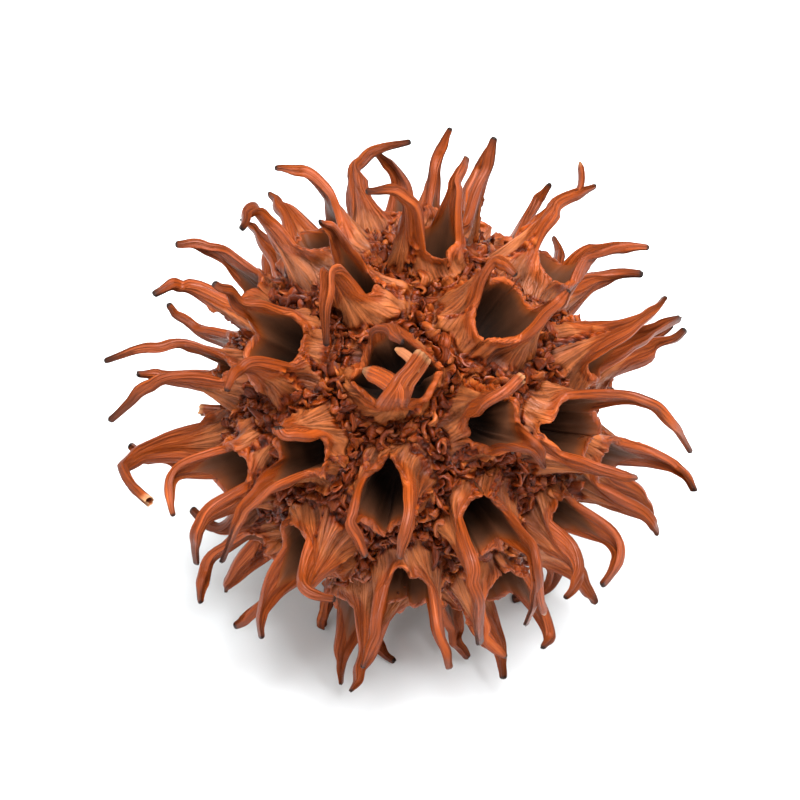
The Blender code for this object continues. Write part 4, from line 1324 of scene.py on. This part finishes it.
def strewn_strips(tree, given):
    """Strips of several bends, strewn over the crust and turned and sized each in its own way."""
    seam = node(tree, STORED, {"Name": "seam"}, data_type="FLOAT")
    near = node(tree, RANGE, (seam, 0.25, 0.6))
    spots = node(
        tree, "GeometryNodeDistributePointsOnFaces",
        {"Mesh": given["Crust"], "Distance Min": given["Spacing"], "Density Max": given["Density"],
         "Density Factor": near, "Seed": given["Seed"]},
        distribute_method="POISSON",
    )
    strips = node(tree, "GeometryNodeGeometryToInstance")
    for bend in CURL_BENDS:
        tree.links.new(in_use(curled_strip(tree, given, bend).outputs), strips.inputs[0])
    size, spin, tint, chosen = (
        node(tree, RANDOM, {"Min": low, "Max": high, "Seed": seed}, data_type=kind)
        for seed, (kind, low, high) in enumerate(CURL_DRAWS, start=1)
    )
    placed = node(
        tree, "GeometryNodeInstanceOnPoints",
        {"Points": spots.outputs["Points"], "Instance": strips, "Pick Instance": True,
         "Instance Index": chosen, "Rotation": spots.outputs["Rotation"], "Scale": size},
    )
    lift = node(tree, JOIN, {"Z": given["Lift"]})
    raised = {"Instances": placed, "Translation": lift, "Local Space": True}
    raised = node(tree, "GeometryNodeTranslateInstances", raised)
    turned = {"Instances": raised, "Rotation": spin, "Local Space": True}
    turned = node(tree, "GeometryNodeRotateInstances", turned)
    marked = {"Geometry": turned, "Name": "tint", "Value": tint}
    return node(tree, STORE, marked, data_type="FLOAT", domain="INSTANCE")


def curl_tree(material):
    """Strews curled strips over the crust of the seams, then crumples each in its own way."""
    tree = bpy.data.node_groups.new("seam curls", "GeometryNodeTree")
    tree.interface.new_socket(name="Crust", in_out="INPUT", socket_type="NodeSocketGeometry")
    for name, value in CURLS.items():
        kind = "NodeSocketInt" if isinstance(value, int) else "NodeSocketFloat"
        made = tree.interface.new_socket(name=name, in_out="INPUT", socket_type=kind)
        made.default_value = value
    tree.interface.new_socket(name="Curls", in_out="OUTPUT", socket_type="NodeSocketGeometry")
    given = node(tree, "NodeGroupInput").outputs
    strips = node(tree, "GeometryNodeRealizeInstances", {"Geometry": strewn_strips(tree, given)})
    place = node(tree, "GeometryNodeInputPosition")
    crumples = {"Vector": place, "Scale": given["Crumple Scale"], "Detail": 2.0, "Roughness": 0.6}
    waves = node(tree, NOISE, crumples)
    shift = node(tree, VECTORS, (waves.outputs["Color"], (0.5, 0.5, 0.5)), operation="SUBTRACT")
    push = node(tree, VECTORS, {0: shift, "Scale": given["Crumple"]}, operation="SCALE")
    done = node(tree, "GeometryNodeSetPosition", {"Geometry": strips, "Offset": push})

    # Each strip has fibres and a tone of its own
    tint = node(tree, STORED, {"Name": "tint"}, data_type="FLOAT")
    grain = node(tree, STORED, {"Name": "grain"}, data_type="FLOAT_VECTOR")
    apart = node(tree, JOIN, {"Z": node(tree, MATH, (tint, CURLS_APART), operation="MULTIPLY")})
    grain = node(tree, VECTORS, (grain, apart), operation="ADD")
    folds = node(tree, RANGE, (waves, 0.3, 0.7, -0.4, 0.5))
    relief = sum_of(tree, (folds, 1.0), (node(tree, RANGE, (tint, 0.0, 1.0, -0.25, 0.4)), 1.0))
    for name, value, kind in (
        ("grain", grain, "FLOAT_VECTOR"), ("relief", relief, "FLOAT"), ("crust", CURL_CRUST, "FLOAT"),
    ):
        done = node(tree, STORE, {"Geometry": done, "Name": name, "Value": value}, data_type=kind)
    done = node(tree, "GeometryNodeSetShadeSmooth", {"Geometry": done, "Shade Smooth": True})
    done = node(tree, "GeometryNodeSetMaterial", {"Geometry": done, "Material": material})
    node(tree, "NodeGroupOutput", (done,))
    return tree


def grow_curls(guide, tree, name):
    """Runs the tree on the guide and keeps its result as a plain mesh."""
    growth = guide.modifiers.new(name, "NODES")
    growth.node_group = tree
    for item in tree.interface.items_tree:
        if item.in_out == "INPUT" and item.name in CURLS:
            growth[item.identifier] = CURLS[item.name]
    evaluated = guide.evaluated_get(bpy.context.evaluated_depsgraph_get())
    data = bpy.data.meshes.new_from_object(evaluated)
    data.name = name
    guide.modifiers.remove(growth)
    return data


def add_piece(name, data):
    piece = bpy.data.objects.new(name, data)
    bpy.context.scene.collection.objects.link(piece)
    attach(piece, "root")
    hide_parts("seed_pod")
    return piece


def dress_pod():
    noise.seed_set(DRIFT_DRAW)  # or the noise vectors would differ from run to run
    capsules = build_capsules()
    shift = -np.array(resting_place(capsules))
    walls = [Wall(number, capsule) for number, capsule in enumerate(capsules)]
    turns = [math.atan2(wall.axis[1], wall.axis[0]) for wall in walls]
    order = sorted(range(len(walls)), key=lambda number: turns[number])
    skins = [Skin() for _ in PIECE_NAMES]
    draw = random.Random(TORN_DRAW)
    for rank, number in enumerate(order):
        grow_wall(skins[rank * len(skins) // len(order)], walls[number], draw)
    wood, lining = capsule_wood(shift), chamber_lining()
    for name, skin in zip(PIECE_NAMES, skins):
        data = skin.mesh(name, shift)
        data.materials.append(wood)
        data.materials.append(lining)
        add_piece(name, data)
    guide = seam_guide(walls, shift)
    add_piece("seam_curls", grow_curls(guide, curl_tree(wood), "seam_curls"))
    crust = guide.data
    bpy.data.objects.remove(guide)
    bpy.data.meshes.remove(crust)


def add_floor():
    corners = [(x * FLOOR_HALF, y * FLOOR_HALF, 0.0) for x, y in ((-1, -1), (1, -1), (1, 1), (-1, 1))]
    data = bpy.data.meshes.new("floor")
    data.from_pydata(corners, [], [(0, 1, 2, 3)])
    data.materials.append(floor_board())
    floor = bpy.data.objects.new("floor", data)
    bpy.context.scene.collection.objects.link(floor)


def add_light(name, place, size, power):
    lamp = bpy.data.lights.new(name, "AREA")
    lamp.shape = "DISK"
    lamp.size = size
    lamp.energy = power
    light = bpy.data.objects.new(name, lamp)
    light.location = place
    light.rotation_euler = Vector(place).to_track_quat("Z", "Y").to_euler()
    bpy.context.scene.collection.objects.link(light)


def light_scene():
    for name, (place, size, power) in LIGHTS.items():
        add_light(name, place, size, power)
    world = bpy.data.worlds.new("studio")
    world.use_nodes = True
    background = world.node_tree.nodes["Background"]
    background.inputs["Color"].default_value = colour("#fffcf6")
    background.inputs["Strength"].default_value = WORLD_STRENGTH
    bpy.context.scene.world = world
    bpy.context.scene.view_settings.view_transform = "Standard"


def add_camera():
    """A long lens at the photograph's angle, far enough for the pod to fill its share of the view."""
    low, high = CAD_BOX
    middle = (low + high) / 2.0
    lens = bpy.data.cameras.new("camera")
    lens.lens = CAMERA_LENS
    reach = (high.x - low.x) / POD_IN_VIEW * CAMERA_LENS / lens.sensor_width
    way = Vector((0.0, -math.cos(FRONT_TILT), math.sin(FRONT_TILT)))
    camera = bpy.data.objects.new("camera", lens)
    camera.location = middle + way * reach
    camera.rotation_euler = way.to_track_quat("Z", "Y").to_euler()
    bpy.context.scene.collection.objects.link(camera)
    bpy.context.scene.camera = camera


dress_pod()
add_floor()
light_scene()
add_camera()
